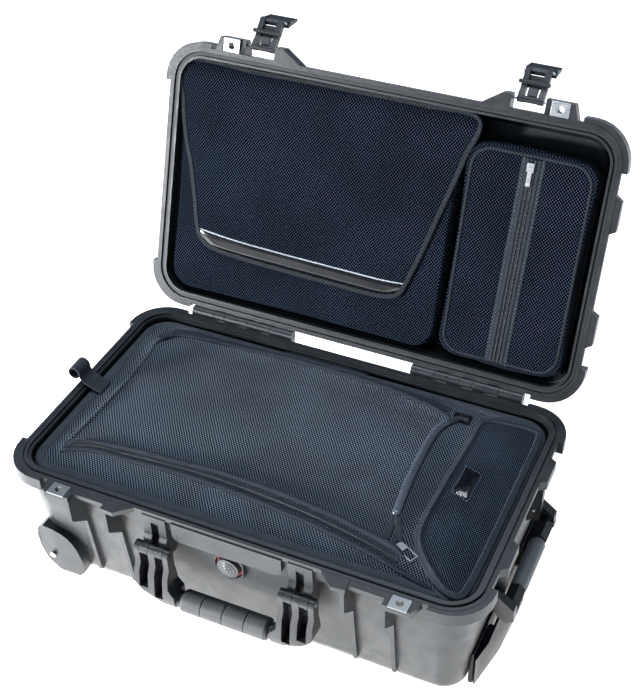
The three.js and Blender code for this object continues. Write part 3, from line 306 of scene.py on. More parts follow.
def make_materials():
    return {
        "resin": moulded_plastic("resin", (0.012, 0.0145, 0.0172), 0.36, 1300, 0.00016),
        "resin_handle": moulded_plastic("resin_handle", (0.017, 0.018, 0.020), 0.3, 1500, 0.00008),
        "resin_latch": moulded_plastic("resin_latch", (0.018, 0.020, 0.023), 0.36, 1500, 0.0001,
                                       specular=0.32),
        "gloss": moulded_plastic("gloss", (0.008, 0.009, 0.011), 0.22, 900, 0.00003, specular=0.2),
        "valve": moulded_plastic("valve", (0.045, 0.047, 0.05), 0.32, 900, 0.00004),
        "rubber": ribbed_rubber("rubber", (0.05, 0.051, 0.053), 0.5),
        "side_grip": ribbed_rubber("side_grip", (0.145, 0.153, 0.158), 0.5),
        "seal": ribbed_rubber("seal", (0.012, 0.012, 0.014), 0.5),
        "red_seal": ribbed_rubber("red_seal", (0.45, 0.035, 0.03), 0.45),
        "tyre": ribbed_rubber("tyre", (0.013, 0.013, 0.014), 0.75),
        "steel": brushed_metal("steel", (0.6, 0.61, 0.62), 0.34),
        # darker steel: the zip slider's own dark metal, and on the padlock plates painted shade that dims their
        # reflections
        "steel_dark_shaded": brushed_metal("steel_dark_shaded", (0.24, 0.245, 0.25), 0.38),
        "alloy": brushed_metal("alloy", (0.62, 0.63, 0.65), 0.35),
        "mesh_base": spacer_mesh("mesh_base", (0.218, 0.265, 0.33), (0.002, 0.003, 0.005),
                                 0.0034, 0.0023, 0.12),
        "mesh_pouch": spacer_mesh("mesh_pouch", (0.092, 0.122, 0.168), (0.001, 0.002, 0.003),
                                  0.0029, 0.0019, 0.04),
        # the lid's cloth: partly its own darker colour, and made darker still as painted shade for the dimmer
        # light in the lid
        "mesh_lid_shaded": spacer_mesh("mesh_lid_shaded", (0.047, 0.065, 0.1), (0.0005, 0.0008, 0.0016),
                                0.0036, 0.0022, 0.02),
        "webbing": ribbed_cloth("webbing", (0.036, 0.041, 0.05), 0.0016, 0.7),
        "binding": ribbed_cloth("binding", (0.017, 0.022, 0.030), 0.0013, 0.6, 0.3),
        "rim_roll": ribbed_cloth("rim_roll", (0.055, 0.065, 0.078), 0.0018, 0.8),
        "pouch_roll": ribbed_cloth("pouch_roll", (0.036, 0.044, 0.056), 0.0016, 0.8),
        "piping": ribbed_cloth("piping", (0.020, 0.027, 0.038), 0.0014, 0.7),
        "zip_tape": ribbed_cloth("zip_tape", (0.028, 0.036, 0.048), 0.0012, 0.7),
        "zip_coil": ribbed_cloth("zip_coil", (0.012, 0.013, 0.016), 0.0016, 0.35, 0.6),
        "thread": ribbed_cloth("thread", (0.2, 0.215, 0.235), 0.0009, 0.6),
        "vinyl": glossy_sheet("vinyl", (0.004, 0.004, 0.006), 0.12, 0.5),
        "clear_tube": glossy_sheet("clear_tube", (0.075, 0.085, 0.105), 0.1, 1.0),
        # painted highlight: a pale glossy strip laid along the top edge of the flap's black band
        "band_edge_highlight": glossy_sheet("band_edge_highlight", (0.45, 0.47, 0.5), 0.3, 0.4),
    }


# ---------------------------------------------------------------- the hard parts

FINISHES = {
    "front_handle_frame": "resin_handle",
    "side_handle_frame": "resin_handle",
    "side_handle_grip": "side_grip",
    "purge_valve_knob": "valve",
    "strap_ring": "gloss",
    "bag_zip_slider": "steel_dark_shaded",
    # the padlock plates' darker steel is painted shade that dims their reflections
    "base_padlock_plate_left": "steel_dark_shaded",
    "base_padlock_plate_right": "steel_dark_shaded",
    "latch_lever_left": "resin_latch",
    "latch_lever_right": "resin_latch",
    "latch_body_left": "resin_latch",
    "latch_body_right": "resin_latch",
}
EDGE_RADIUS = {"base_shell": 0.0008, "lid_shell": 0.0008}


def soften_edges(node, radius):
    """Rounds the sharp edges of a CAD part with modifiers, so its mesh stays as it is."""
    weld = node.modifiers.new("weld", "WELD")
    weld.merge_threshold = 0.00001
    flat = node.modifiers.new("flat", "DECIMATE")
    flat.decimate_type = "DISSOLVE"
    flat.angle_limit = math.radians(0.6)
    edges = node.modifiers.new("edges", "BEVEL")
    edges.width = radius
    edges.segments = 2
    edges.limit_method = "ANGLE"
    edges.angle_limit = math.radians(33)
    edges.use_clamp_overlap = True
    edges.harden_normals = False
    normals = node.modifiers.new("normals", "WEIGHTED_NORMAL")
    normals.weight = 80
    normals.keep_sharp = False


def finish_hard_parts(materials):
    for part in frame["record"]["subparts"]:
        name = part["node"]
        if part["material_slot"] in ("mesh", "webbing", "vinyl"):
            continue
        node = frame["nodes"][name]
        node.data.materials.clear()
        node.data.materials.append(materials[FINISHES.get(name, part["material_slot"])])
        if "custom_normal" in node.data.attributes:
            node.data.attributes.remove(node.data.attributes["custom_normal"])
        node.data.shade_smooth()
        soften_edges(node, EDGE_RADIUS.get(name, 0.0005))


# ---------------------------------------------------------------- soft goods: tools

# Soft pieces are built in millimetres in the frame of the half they lie in, with the case shut.
# up is the way that half's contents face, so heights grow towards the other half.
MM = 0.001
Side = namedtuple("Side", "body matrix up")


def lid_side():
    hinge = next(joint for joint in frame["joints"] if joint["name"] == "lid_hinge")
    pivot = Matrix.Translation(Vector(hinge["pos_m"]))
    turn = Matrix.Rotation(-math.radians(hinge["range_deg"][1]), 4, "X")
    return Side("lid", pivot @ turn @ pivot.inverted(), -1)


BASE = Side("base", Matrix.Identity(4), 1)
LID = lid_side()
made = []


def new_piece(name, side, points, faces, material, flat=None):
    """A mesh piece from points in mm. flat gives each point's place on the flat cloth, in mm."""
    mesh = bpy.data.meshes.new(name)
    mesh.from_pydata([tuple(c * MM for c in point) for point in points], [], faces)
    mesh.validate()
    piece = bpy.data.objects.new(name, mesh)
    bpy.context.scene.collection.objects.link(piece)
    if flat is not None:
        layer = mesh.uv_layers.new(name="weave")
        for loop in mesh.loops:
            u, v = flat[loop.vertex_index]
            layer.data[loop.index].uv = (u * MM, v * MM)
    return dress(piece, side, material)


def dress(piece, side, material):
    piece.data.materials.clear()
    piece.data.materials.append(material)
    piece.data.shade_smooth()
    made.append((piece, side))
    return piece


def apply_modifiers(piece):
    bpy.context.view_layer.update()
    graph = bpy.context.evaluated_depsgraph_get()
    mesh = bpy.data.meshes.new_from_object(piece.evaluated_get(graph))
    piece.modifiers.clear()
    piece.data = mesh


def points_of(piece):
    co = np.zeros(len(piece.data.vertices) * 3)
    piece.data.vertices.foreach_get("co", co)
    return co.reshape(-1, 3) / MM


def set_points(piece, points):
    piece.data.vertices.foreach_set("co", (points * MM).ravel())
    piece.data.update()


def box_flat(piece):
    """Flat cloth coordinates from the side each face looks to, so that the weave keeps its size."""
    mesh = piece.data
    if "weave" in mesh.uv_layers:
        return
    layer = mesh.uv_layers.new(name="weave")
    co = points_of(piece) * MM
    uv = np.zeros((len(mesh.loops), 2))
    for face in mesh.polygons:
        axis = max(range(3), key=lambda i: abs(face.normal[i]))
        across, along = ((1, 2), (0, 2), (0, 1))[axis]
        for loop in face.loop_indices:
            point = co[mesh.loops[loop].vertex_index]
            uv[loop] = (point[across], point[along])
    layer.data.foreach_set("uv", uv.ravel())


def smooth_path(points, step=4.0, closed=False):
    """A round curve through the points, in even steps."""
    given = np.array(points, float)
    count = len(given)
    spans = count if closed else count - 1
    curve = []
    for i in range(spans):
        ends = [i - 1, i, i + 1, i + 2]
        a, b, c, d = (given[k % count] if closed else given[min(max(k, 0), count - 1)] for k in ends)
        for t in np.linspace(0, 1, 12, endpoint=False):
            curve.append(0.5 * (2 * b + (c - a) * t + (2 * a - 5 * b + 4 * c - d) * t ** 2
                                + (3 * b - a - 3 * c + d) * t ** 3))
    curve.append(given[0] if closed else given[-1])
    curve = np.array(curve)
    lengths = np.concatenate([[0], np.cumsum(np.linalg.norm(np.diff(curve, axis=0), axis=1))])
    samples = max(3, int(round(lengths[-1] / step)) + 1)
    at = np.linspace(0, lengths[-1], samples)
    even = np.stack([np.interp(at, lengths, curve[:, k]) for k in range(curve.shape[1])], axis=1)
    return even[:-1] if closed else even


def rounded_loop(low, high, radius, step=4.0):
    """A closed rectangle with round corners, in even steps."""
    corners = ((high[0] - radius, high[1] - radius), (low[0] + radius, high[1] - radius),
               (low[0] + radius, low[1] + radius), (high[0] - radius, low[1] + radius))
    loop = []
    for turn, (x, y) in enumerate(corners):
        for angle in np.radians(np.arange(0, 91, 15) + 90 * turn):
            loop.append((x + radius * math.cos(angle), y + radius * math.sin(angle)))
    loop = np.array(loop + loop[:1])
    lengths = np.concatenate([[0], np.cumsum(np.linalg.norm(np.diff(loop, axis=0), axis=1))])
    at = np.linspace(0, lengths[-1], int(round(lengths[-1] / step)) + 1)[:-1]
    return np.stack([np.interp(at, lengths, loop[:, k]) for k in (0, 1)], axis=1)


def headings(path, closed=False):
    """Unit directions of a plane path, and the way to its left."""
    if closed:
        ahead = np.roll(path, -1, axis=0) - np.roll(path, 1, axis=0)
    else:
        ahead = np.gradient(path, axis=0)
    ahead = ahead / np.linalg.norm(ahead, axis=1)[:, None]
    return ahead, np.stack([-ahead[:, 1], ahead[:, 0]], axis=1)


def height_over(piece, side, missing):
    """A function that gives the height in mm of a soft piece's facing surface at x, y."""
    tree = BVHTree.FromPolygons(
        [tuple(p) for p in points_of(piece)],
        [tuple(face.vertices) for face in piece.data.polygons],
    )

    def height(x, y):
        hit = tree.ray_cast(Vector((x, y, side.up * 1000)), Vector((0, 0, -side.up)))
        return missing if hit[0] is None else hit[0].z
    return height


def distance_to(points, path):
    """Distance of each point to a plane path."""
    best = np.full(len(points), 1e9)
    for a, b in zip(path[:-1], path[1:]):
        along = b - a
        t = np.clip(((points - a) @ along) / max(along @ along, 1e-9), 0, 1)
        best = np.minimum(best, np.linalg.norm(points - (a + t[:, None] * along), axis=1))
    return best


def press(piece, side, path, width, depth):
    """Pushes the facing surface in along a path by depth, or raises it where depth is negative."""
    points = points_of(piece)
    normals = np.zeros(len(points) * 3)
    piece.data.vertices.foreach_get("normal", normals)
    facing = np.clip(normals.reshape(-1, 3)[:, 2] * side.up * 2 - 0.4, 0, 1)
    near = np.exp(-(distance_to(points[:, :2], path) / width) ** 2)
    points[:, 2] -= side.up * depth * near * facing
    set_points(piece, points)


def wrinkle(piece, side, depth, scale, seed, stretch=(1, 1)):
    """Soft uneven folds over a piece, along its facing direction."""
    points = points_of(piece)
    for point in points:
        spot = Vector((point[0] * stretch[0] / scale, point[1] * stretch[1] / scale, seed))
        point[2] += side.up * depth * noise.noise(spot)
    set_points(piece, points)


def puff(name, node, side, inset, cap, material, voxel=5.0, pressure=4.0):
    """A stuffed bag from a CAD soft solid: its own shape, a little smaller, blown up as cloth."""
    mesh = frame["nodes"][node].data.copy()
    mesh.transform(side.matrix.inverted())
    piece = bpy.data.objects.new(name, mesh)
    bpy.context.scene.collection.objects.link(piece)
    points = points_of(piece)
    low, high = points.min(0), points.max(0)
    middle = (low + high) / 2
    set_points(piece, middle + (points - middle) * (1 - 2 * inset / (high - low)))
    weld = piece.modifiers.new("weld", "WELD")
    weld.merge_threshold = 0.00001
    skin = piece.modifiers.new("skin", "REMESH")
    skin.mode = "VOXEL"
    skin.voxel_size = voxel * MM
    apply_modifiers(piece)
    blow_up(piece, cap, pressure)
    finer = piece.modifiers.new("finer", "SUBSURF")
    finer.levels = 1
    finer.render_levels = 1
    apply_modifiers(piece)
    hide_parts(node)
    return dress(piece, side, material)


def blow_up(piece, cap, pressure, frames=20):
    scene = bpy.context.scene
    start = points_of(piece)
    cloth = piece.modifiers.new("cloth", "CLOTH")
    cloth.settings.use_pressure = True
    cloth.settings.uniform_pressure_force = pressure
    cloth.settings.effector_weights.gravity = 0
    cloth.point_cache.frame_start = 1
    cloth.point_cache.frame_end = frames
    for number in range(1, frames + 1):
        scene.frame_set(number)
    apply_modifiers(piece)
    scene.frame_set(1)
    move = points_of(piece) - start
    far = np.linalg.norm(move, axis=1)
    keep = np.minimum(1, cap / np.maximum(far, 1e-6))
    set_points(piece, start + move * keep[:, None])


def fill_out(piece, side, top, low, high):
    """Spreads a bag over the plan from low to high and squares its rim up, so that it packs its space."""
    points = points_of(piece)
    for axis in (0, 1):
        least, most = points[:, axis].min(), points[:, axis].max()
        points[:, axis] = np.interp(points[:, axis], [least, most], [low[axis], high[axis]])
    depth = (top - points[:, 2]) * side.up
    fuller = np.interp(depth, [-30, 0, 12, 18, 32], [-30, 0, 0.8, 5, 32])
    points[:, 2] = top - side.up * fuller
    set_points(piece, points)


def hold_below(piece, side, limit, softness=2.0):
    """Keeps a piece's facing surface under a height, easing into it."""
    points = points_of(piece)
    over = side.up * (points[:, 2] - limit) + softness
    eased = np.where(over > 0, softness * np.tanh(over / softness), over)
    points[:, 2] = limit + side.up * (eased - softness)
    set_points(piece, points)


def grid_faces(rows, columns, closed_rows=False, closed_columns=False):
    """Quads over a grid of points numbered row by row."""
    faces = []
    for i in range(rows if closed_rows else rows - 1):
        for j in range(columns if closed_columns else columns - 1):
            a = i * columns + j
            b = i * columns + (j + 1) % columns
            c = (i + 1) % rows * columns + (j + 1) % columns
            d = (i + 1) % rows * columns + j
            faces.append((a, b, c, d))
    return faces


def roll(name, side, path, height, width, rise, material, closed=False, taper=0, sink=1.2):
    """A rounded strip of cloth along a path on a surface: piping, binding or tape."""
    arc = 9
    left = headings(path, closed)[1]
    points, flat = [], []
    run = 0.0
    for i, (spot, side_way) in enumerate(zip(path, left)):
        if i:
            run += float(np.linalg.norm(spot - path[i - 1]))
        end = min(i, len(path) - 1 - i)
        size = min(1.0, math.sqrt((end + 0.35) / taper)) if taper and end < taper else 1.0
        for k in range(arc):
            angle = math.pi * k / (arc - 1)
            offset = -math.cos(angle) * width / 2 * size
            x, y = spot + side_way * offset
            lift = math.sin(angle) ** 0.7 * rise * size
            points.append((x, y, height(x, y) + side.up * (lift - 0.05)))
            flat.append((offset, run))
        x, y = spot
        points.append((x, y, height(x, y) - side.up * sink))
        flat.append((0, run))
    faces = grid_faces(len(path), arc + 1, closed_rows=closed, closed_columns=True)
    if not closed:
        faces.append(tuple(range(arc + 1)))
        faces.append(tuple(reversed(range((len(path) - 1) * (arc + 1), len(path) * (arc + 1)))))
    if side.up > 0:
        faces = [tuple(reversed(face)) for face in faces]
    return new_piece(name, side, points, faces, material, flat)


def ribbon(name, side, path, height, width, thick, material):
    """A flat strap along a path on a surface, with soft edges."""
    section = [(-0.5, -0.5), (-0.5, 0.2), (-0.46, 0.5), (-0.2, 0.55),
               (0.2, 0.55), (0.46, 0.5), (0.5, 0.2), (0.5, -0.5)]
    left = headings(path)[1]
    points, flat = [], []
    run = 0.0
    for i, (spot, side_way) in enumerate(zip(path, left)):
        if i:
            run += float(np.linalg.norm(spot - path[i - 1]))
        for across, lift in section:
            x, y = spot + side_way * across * width
            points.append((x, y, height(x, y) + side.up * thick * (lift + 0.5)))
            flat.append((across * width, run))
    columns = len(section)
    faces = grid_faces(len(path), columns, closed_columns=True)
    faces.append(tuple(range(columns)))
    faces.append(tuple(reversed(range((len(path) - 1) * columns, len(path) * columns))))
    if side.up > 0:
        faces = [tuple(reversed(face)) for face in faces]
    return new_piece(name, side, points, faces, material, flat)


def cloth_panel(name, side, outline, spine, height, thick, material):
    """A thin cloth panel inside an outline.

    height(x, y, inner) gives its lower face; inner is 0 at the edge.
    """
    rings = (0, 0.02, 0.06, 0.12, 0.2, 0.3, 0.42, 0.55, 0.7, 0.85, 1)
    loop = smooth_path(outline, 5, closed=True)
    a, b = np.array(spine[0], float), np.array(spine[1], float)
    along = b - a
    knots = max(1, round(float(np.linalg.norm(along)) / 5))
    shares = [np.clip(((p - a) @ along) / (along @ along), 0, 1) for p in loop]
    centre = [a + along * round(share * knots) / knots for share in shares]
    points = []
    for level in (1, 0):
        for inner in rings:
            for rim, core in zip(loop, centre):
                x, y = rim + (core - rim) * inner
                edge = min(1.0, inner / 0.02)
                lift = thick * (0.5 + 0.5 * edge) if level else thick * 0.5 * (1 - edge)
                points.append((x, y, height(x, y, inner) + side.up * lift))
    count, size = len(rings), len(loop)
    top = grid_faces(count, size, closed_columns=True)
    under = [tuple(reversed([k + count * size for k in face])) for face in top]
    rim = [(j, j + count * size, (j + 1) % size + count * size, (j + 1) % size) for j in range(size)]
    faces = top + under + rim
    piece = new_piece(name, side, points, faces, material)
    mesh = bmesh.new()
    mesh.from_mesh(piece.data)
    bmesh.ops.remove_doubles(mesh, verts=mesh.verts, dist=0.4 * MM)
    bmesh.ops.dissolve_degenerate(mesh, edges=mesh.edges, dist=0.1 * MM)
    bmesh.ops.recalc_face_normals(mesh, faces=mesh.faces)
    mesh.to_mesh(piece.data)
    mesh.free()
    return piece


def stitches(name, side, path, height, material, length=3.0, gap=1.6, width=0.8):
    """A row of small raised thread stitches along a path."""
    points, faces, flat = [], [], []
    spots = smooth_path(path, length + gap)
    ahead, left = headings(spots)
    for spot, forward, side_way in zip(spots, ahead, left):
        first = len(points)
        for end in (-0.5, 0, 0.5):
            rise = 0.75 if end == 0 else 0.1
            for across in (-0.5, 0.5):
                x, y = spot + forward * end * length + side_way * across * width
                for low in (0, 1):
                    points.append((x, y, height(x, y) + side.up * (rise if low else -0.4)))
                    flat.append((across, end * length))
        for k in (0, 4):
            a = first + k
            faces += [(a + 1, a + 3, a + 7, a + 5), (a, a + 4, a + 6, a + 2),
                      (a, a + 1, a + 5, a + 4), (a + 2, a + 6, a + 7, a + 3)]
        faces += [(first, first + 2, first + 3, first + 1), (first + 8, first + 9, first + 11, first + 10)]
    return new_piece(name, side, points, faces, material, flat)


def area_inside(outline):
    loop = smooth_path(outline, 5, closed=True)
    x, y = loop[:, 0], loop[:, 1]
    return abs(float(np.dot(x, np.roll(y, -1)) - np.dot(y, np.roll(x, -1)))) / 2


def declare_sheet(outline):
    """Works out the area of a panel's flat cut sheet from its outline, and does not keep it."""
    loop = smooth_path(outline, 5, closed=True)
    area_inside(outline) * MM * MM


# ---------------------------------------------------------------- soft goods: the base

BAG_TOP = 159.9
MOUTH_X = 259.5                    # half length of the cavity mouth, in the base and in the lid
MOUTH_Y = 144.4                    # half width of it
FRONT_RIDGE = [(-229, -108), (-221, -97), (-210, -89), (-190, -84), (-151, -80), (-105, -77.5), (-45, -73.5),
               (16, -76), (60, -80), (110, -87), (160, -98), (178, -108)]
FRONT_LIP = [(-229, -113), (-213, -102), (-191, -96), (-157, -95), (-97, -91.5), (-35, -92), (27, -97),
             (90, -104), (150, -116), (200, -130), (228, -139)]
BACK_RIDGE = [(-228, 90), (-222, 107), (-207, 119), (-178, 124), (-151, 125), (-102, 128), (-53, 130.5),
              (20, 130), (80, 125), (130, 114), (150, 105)]
LEFT_SEAM = [(-232, -100), (-228, -50), (-226, 0), (-226, 50), (-229, 92)]
TUBE = [(147.5, -57, 162.6), (143, -19, 163.4), (140.5, 17, 163.6), (139.5, 53, 163.6), (141.5, 82, 163.2),
        (148, 99, 162.2)]
POUCH = [(181.6, 108), (181, 80), (180, 58), (177.5, 18), (177, -18), (176.5, -46), (178.5, -71),
         (187.6, -92), (206, -113), (224, -128.5), (237, -134), (247, -131), (250, -112), (251, -68),
         (251, 27), (250, 112), (240, 124), (207, 123), (190, 119)]
PATCH = [(192.5, 36), (201, 33), (209.6, 29), (209.4, 10), (209, -9), (200.5, -6), (192, -3), (192.2, 16)]


def make_clothing_bag(materials):
    bag = puff("clothing_bag_cloth", "clothing_bag", BASE, 2.0, 5.0, materials["mesh_base"])
    fill_out(bag, BASE, BAG_TOP, (1.5 - MOUTH_X, 1.5 - MOUTH_Y), (MOUTH_X - 1.5, MOUTH_Y - 1.5))
    hold_below(bag, BASE, BAG_TOP + 0.8, 1.6)
    wrinkle(bag, BASE, 0.9, 60, 3.1)
    for path, width, depth in ((FRONT_RIDGE, 7, -1.6), (BACK_RIDGE, 7, -1.6), (LEFT_SEAM, 9, -1.2)):
        press(bag, BASE, smooth_path(path, 6), width, depth)
    return bag


def make_bag_trim(bag, materials):
    over = height_over(bag, BASE, BAG_TOP)
    trims = []
    front, lip, back = (smooth_path(path, 4) for path in (FRONT_RIDGE, FRONT_LIP, BACK_RIDGE))
    count = min(len(front), len(lip))
    middle = (smooth_path(FRONT_RIDGE, 4)[:count] + smooth_path(FRONT_LIP, 4)[:count]) / 2
    trims.append(roll("bag_front_ridge", BASE, front, over, 7.5, 3.6, materials["piping"], taper=5))
    trims.append(roll("bag_front_lip", BASE, lip, over, 6.5, 3.0, materials["piping"], taper=5))
    trims.append(ribbon("bag_front_zip_tape", BASE, middle[2:-2], over, 9, 0.7, materials["zip_tape"]))
    trims.append(roll("bag_front_zip_coil", BASE, middle[2:-2], over, 2.6, 1.7, materials["zip_coil"],
                      taper=3))
    trims.append(roll("bag_back_ridge", BASE, back, over, 7.5, 3.4, materials["piping"], taper=5))
    band = back + headings(back)[1] * 9
    trims.append(ribbon("bag_back_zip_tape", BASE, band[3:-3], over, 8, 0.8, materials["zip_tape"]))
    inset = 8.5
    mouth = rounded_loop((inset - MOUTH_X, inset - MOUTH_Y), (MOUTH_X - inset, MOUTH_Y - inset), 24)
    trims.append(roll("bag_rim_roll", BASE, mouth, lambda x, y: BAG_TOP - 5.5, 14, 6.2,
                      materials["rim_roll"], closed=True, sink=10))
    left = smooth_path(LEFT_SEAM, 5)
    trims.append(roll("bag_left_seam", BASE, left, over, 6, 1.6, materials["mesh_base"], taper=4))
    return trims


def make_pouch(bag, materials):
    over = height_over(bag, BASE, BAG_TOP)

    def height(x, y, inner=0.0):
        return max(over(x, y), 159.6) + 0.5 + 2.2 * math.sin(min(1.0, inner * 1.6) * math.pi / 2)

    flap = cloth_panel("pouch_flap_cloth", BASE, POUCH, ((213, -85), (215, 90)), height, 1.8,
                       materials["mesh_pouch"])
    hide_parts("pouch_flap")
    edge = smooth_path(POUCH, 4, closed=True)
    top = height_over(flap, BASE, BAG_TOP + 1)
    binding = roll("pouch_flap_binding", BASE, edge, top, 8.0, 2.2, materials["pouch_roll"],
                   closed=True, sink=2.4)
    over_flap = height_over(flap, BASE, BAG_TOP + 2)

    def patch_height(x, y, inner=0.0):
        return over_flap(x, y) + 1.1 * math.sin(min(1.0, inner * 2) * math.pi / 2)

    patch = cloth_panel("pouch_patch_vinyl", BASE, PATCH, ((200.5, 8), (200.5, 22)), patch_height, 0.9,
                        materials["vinyl"])
    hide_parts("pouch_patch")
    grown = [(200.7 + (x - 200.7) * 1.14, 14 + (y - 14) * 1.07) for x, y in PATCH]
    seam = stitches("pouch_patch_stitches", BASE, grown + grown[:1], over_flap, materials["thread"],
                    2.2, 2.0, 0.7)
    declare_sheet(POUCH)
    return flap, [binding, patch, seam]


def make_strap(bag, materials):
    over = height_over(bag, BASE, BAG_TOP)

    def just_over(x, y):
        return over(x, y) + 0.3

    tube_line = smooth_path(TUBE, 3)
    ring = 14
    points, flat = [], []
    ahead = np.gradient(tube_line, axis=0)
    for i, (spot, forward) in enumerate(zip(tube_line, ahead)):
        forward = forward / np.linalg.norm(forward)
        across = np.cross(forward, (0, 0, 1))
        across /= np.linalg.norm(across)
        upward = np.cross(across, forward)
        for k in range(ring):
            angle = 2 * math.pi * k / ring
            points.append(tuple(spot + 4.7 * math.cos(angle) * across + 3.3 * math.sin(angle) * upward))
            flat.append((4 * angle, i * 3))
    faces = grid_faces(len(tube_line), ring, closed_columns=True)
    faces += [tuple(reversed(range(ring))), tuple(range((len(tube_line) - 1) * ring, len(tube_line) * ring))]
    tube = new_piece("lift_strap_tube", BASE, points, faces, materials["clear_tube"], flat)
    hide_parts("lift_strap")
    legs = [
        ribbon("lift_strap_leg_left", BASE, smooth_path([(146.5, -54), (148, -72), (150.5, -92)], 3),
               just_over, 8, 1.4, materials["webbing"]),
        ribbon("lift_strap_leg_right", BASE, smooth_path([(148.5, -54), (157, -72), (165, -90)], 3),
               just_over, 8, 1.6, materials["webbing"]),
        ribbon("lift_strap_tail", BASE, smooth_path([(147, 96), (153, 106), (161, 113)], 3), just_over, 9,
               1.5, materials["webbing"]),
    ]
    return [tube] + legs


def make_pull_tab(materials):
    """A webbing tab from the bag over the rim, curled up into a loop on the left."""
    rise = [(-241, 161.4), (-249, 163.2), (-256, 166.6), (-261.5, 169), (-265.5, 172.6), (-267.6, 177.5)]
    curl = [(-274 + 6.4 * math.cos(a), 181 + 6.4 * math.sin(a)) for a in np.radians(np.arange(0, 320, 30))]
    line = smooth_path(rise + curl, 2.0)
    left = headings(line)[1]
    points, flat = [], []
    edges = (-13, -12.2, -2, 8.2, 9)
    for lift in (0.0, 1.5):
        for i, (spot, side_way) in enumerate(zip(line, left)):
            for y in edges:
                x, z = spot - side_way * lift
                points.append((x, y, z))
                flat.append((y, i * 2.0))
    rows, columns = len(line), len(edges)
    one = grid_faces(rows, columns)
    two = [tuple(reversed([k + rows * columns for k in face])) for face in one]
    other = rows * columns
    border = [i * columns for i in range(rows)] + [(rows - 1) * columns + j for j in range(1, columns)]
    border += [i * columns + columns - 1 for i in range(rows - 2, -1, -1)] + list(range(columns - 2, 0, -1))
    rim = [(a, b, b + other, a + other) for a, b in zip(border, border[1:] + border[:1])]
    tab = new_piece("bag_pull_tab", BASE, points, one + two + rim, materials["webbing"], flat)
    mesh = bmesh.new()
    mesh.from_mesh(tab.data)
    bmesh.ops.recalc_face_normals(mesh, faces=mesh.faces)
    mesh.to_mesh(tab.data)
    mesh.free()
    return tab


# ---------------------------------------------------------------- soft goods: the lid

FLAP = [(-256, -138), (-160, -140), (-60, -141), (40, -141), (108, -138), (99, -92), (88, -50), (78, -16),
        (65, 30), (53, 66), (47, 79), (34, 86), (8, 88), (-60, 87), (-150, 85), (-197, 81), (-213, 74),
        (-222, 60), (-230, 20), (-238, -16), (-248, -50), (-255, -90)]
BAND_TOP = [(-219, 60), (-170, 64), (-100, 66), (-28, 67), (20, 67.5), (51, 66)]
BAND = [(-219, 62), (-170, 65), (-100, 67), (-28, 68), (20, 68.5), (50, 67), (44, 78), (33, 83), (8, 85),
        (-60, 84), (-150, 82), (-196, 78), (-210, 72)]
ZIP = [(177, -107), (176.4, -40), (175.4, 40), (174.4, 132)]


def make_sleeve(materials):
    sleeve = puff("laptop_sleeve_cloth", "laptop_sleeve", LID, 2.0, 5.0, materials["mesh_lid_shaded"])
    fill_out(sleeve, LID, 171.4, (-257, -128), (97, 141))
    hold_below(sleeve, LID, 171.6, 2.0)
    wrinkle(sleeve, LID, 1.0, 70, 8.4)
    return sleeve


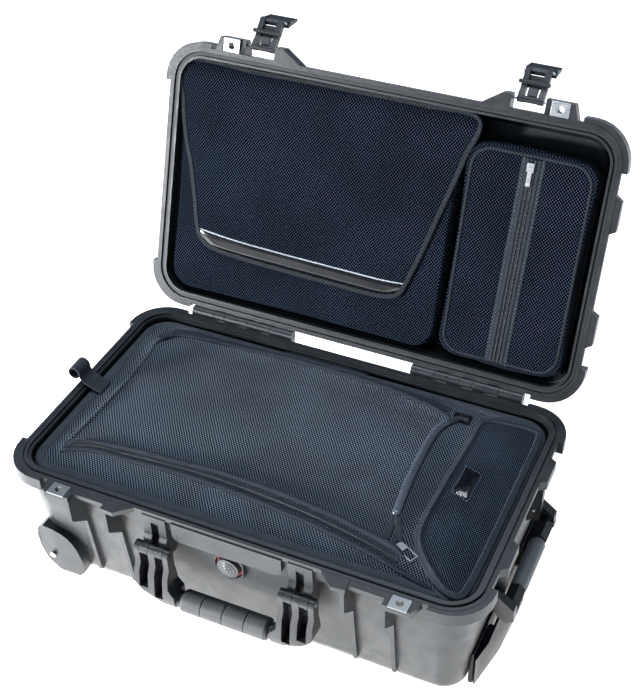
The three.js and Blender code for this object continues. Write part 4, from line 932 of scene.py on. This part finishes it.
def make_sleeve_flap(materials):
    def height(x, y, inner=0.0):
        under_rim = max(0.0, (-122 - y) / 18) ** 1.5 * 5
        broad = noise.noise(Vector((x / 210, y / 42, 5.2)))
        fine = noise.noise(Vector((x / 60, y / 60, 1.7)))
        fold = broad * 1.1 + fine * 0.5
        return 171.0 + under_rim - min(1.0, inner * 3) * (1.6 + 1.4 * fold)

    flap = cloth_panel("sleeve_flap_cloth", LID, FLAP, ((-140, -40), (-10, -40)), height, 1.8,
                       materials["mesh_lid_shaded"])
    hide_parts("sleeve_flap")
    over = height_over(flap, LID, 169.6)
    edge = smooth_path(FLAP, 4, closed=True)
    binding = roll("sleeve_flap_binding", LID, edge, over, 6.0, 1.5, materials["binding"],
                   closed=True, sink=2.6)

    def band_height(x, y, inner=0.0):
        return over(x, y) - 0.9 * math.sin(min(1.0, inner * 2) * math.pi / 2)

    band = cloth_panel("sleeve_flap_band", LID, BAND, ((-190, 73), (25, 76)), band_height, 0.7,
                       materials["vinyl"])
    # painted highlight: a pale roll along the band's top edge, where the black vinyl catches the light
    highlight_line = roll("sleeve_band_highlight", LID, smooth_path(BAND_TOP, 4), over, 1.8, 1.2,
                     materials["band_edge_highlight"], taper=2)
    declare_sheet(FLAP)
    return flap, [binding, band, highlight_line]


def make_toiletry_bag(materials):
    bag = puff("toiletry_bag_cloth", "toiletry_bag", LID, 2.0, 4.0, materials["mesh_lid_shaded"], voxel=4.5)
    fill_out(bag, LID, 169.2, (101, -118), (251, 139))
    hold_below(bag, LID, 169.6, 2.0)
    press(bag, LID, smooth_path(ZIP, 6), 20, 0.8)
    over = height_over(bag, LID, 171)
    line = smooth_path(ZIP, 4)
    sideways = headings(line)[1]
    trims = [ribbon("toiletry_zip_tape", LID, line, over, 27, 0.7, materials["zip_tape"])]
    over_tape = height_over(trims[0], LID, 170)
    for sign, word in ((-1, "left"), (1, "right")):
        trims.append(roll(f"toiletry_zip_coil_{word}", LID, line + sideways * sign * 2.4, over_tape,
                          2.6, 1.0, materials["zip_coil"]))
        trims.append(stitches(f"toiletry_zip_stitches_{word}", LID, line + sideways * sign * 11, over_tape,
                              materials["thread"], 2.4, 2.2, 0.6))
        trims.append(roll(f"toiletry_tape_fold_{word}", LID, line + sideways * sign * 6.6, over_tape,
                          3.6, 0.9, materials["zip_tape"]))
    seam = rounded_loop((108, -110), (244, 131), 22)
    trims.append(roll("toiletry_piping", LID, seam, over, 3.4, 1.2, materials["binding"], closed=True))
    return bag, trims


def finish_soft_pieces():
    for piece, side in made:
        box_flat(piece)
        piece.data.transform(side.matrix)
        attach(piece, side.body)


# ---------------------------------------------------------------- the scene

MATERIALS = make_materials()
make_camera()
make_studio()
finish_hard_parts(MATERIALS)
clothing_bag = make_clothing_bag(MATERIALS)
make_bag_trim(clothing_bag, MATERIALS)
make_pouch(clothing_bag, MATERIALS)
make_strap(clothing_bag, MATERIALS)
pull_tab = make_pull_tab(MATERIALS)
laptop_sleeve = make_sleeve(MATERIALS)
make_sleeve_flap(MATERIALS)
make_toiletry_bag(MATERIALS)
finish_soft_pieces()
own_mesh(pull_tab)
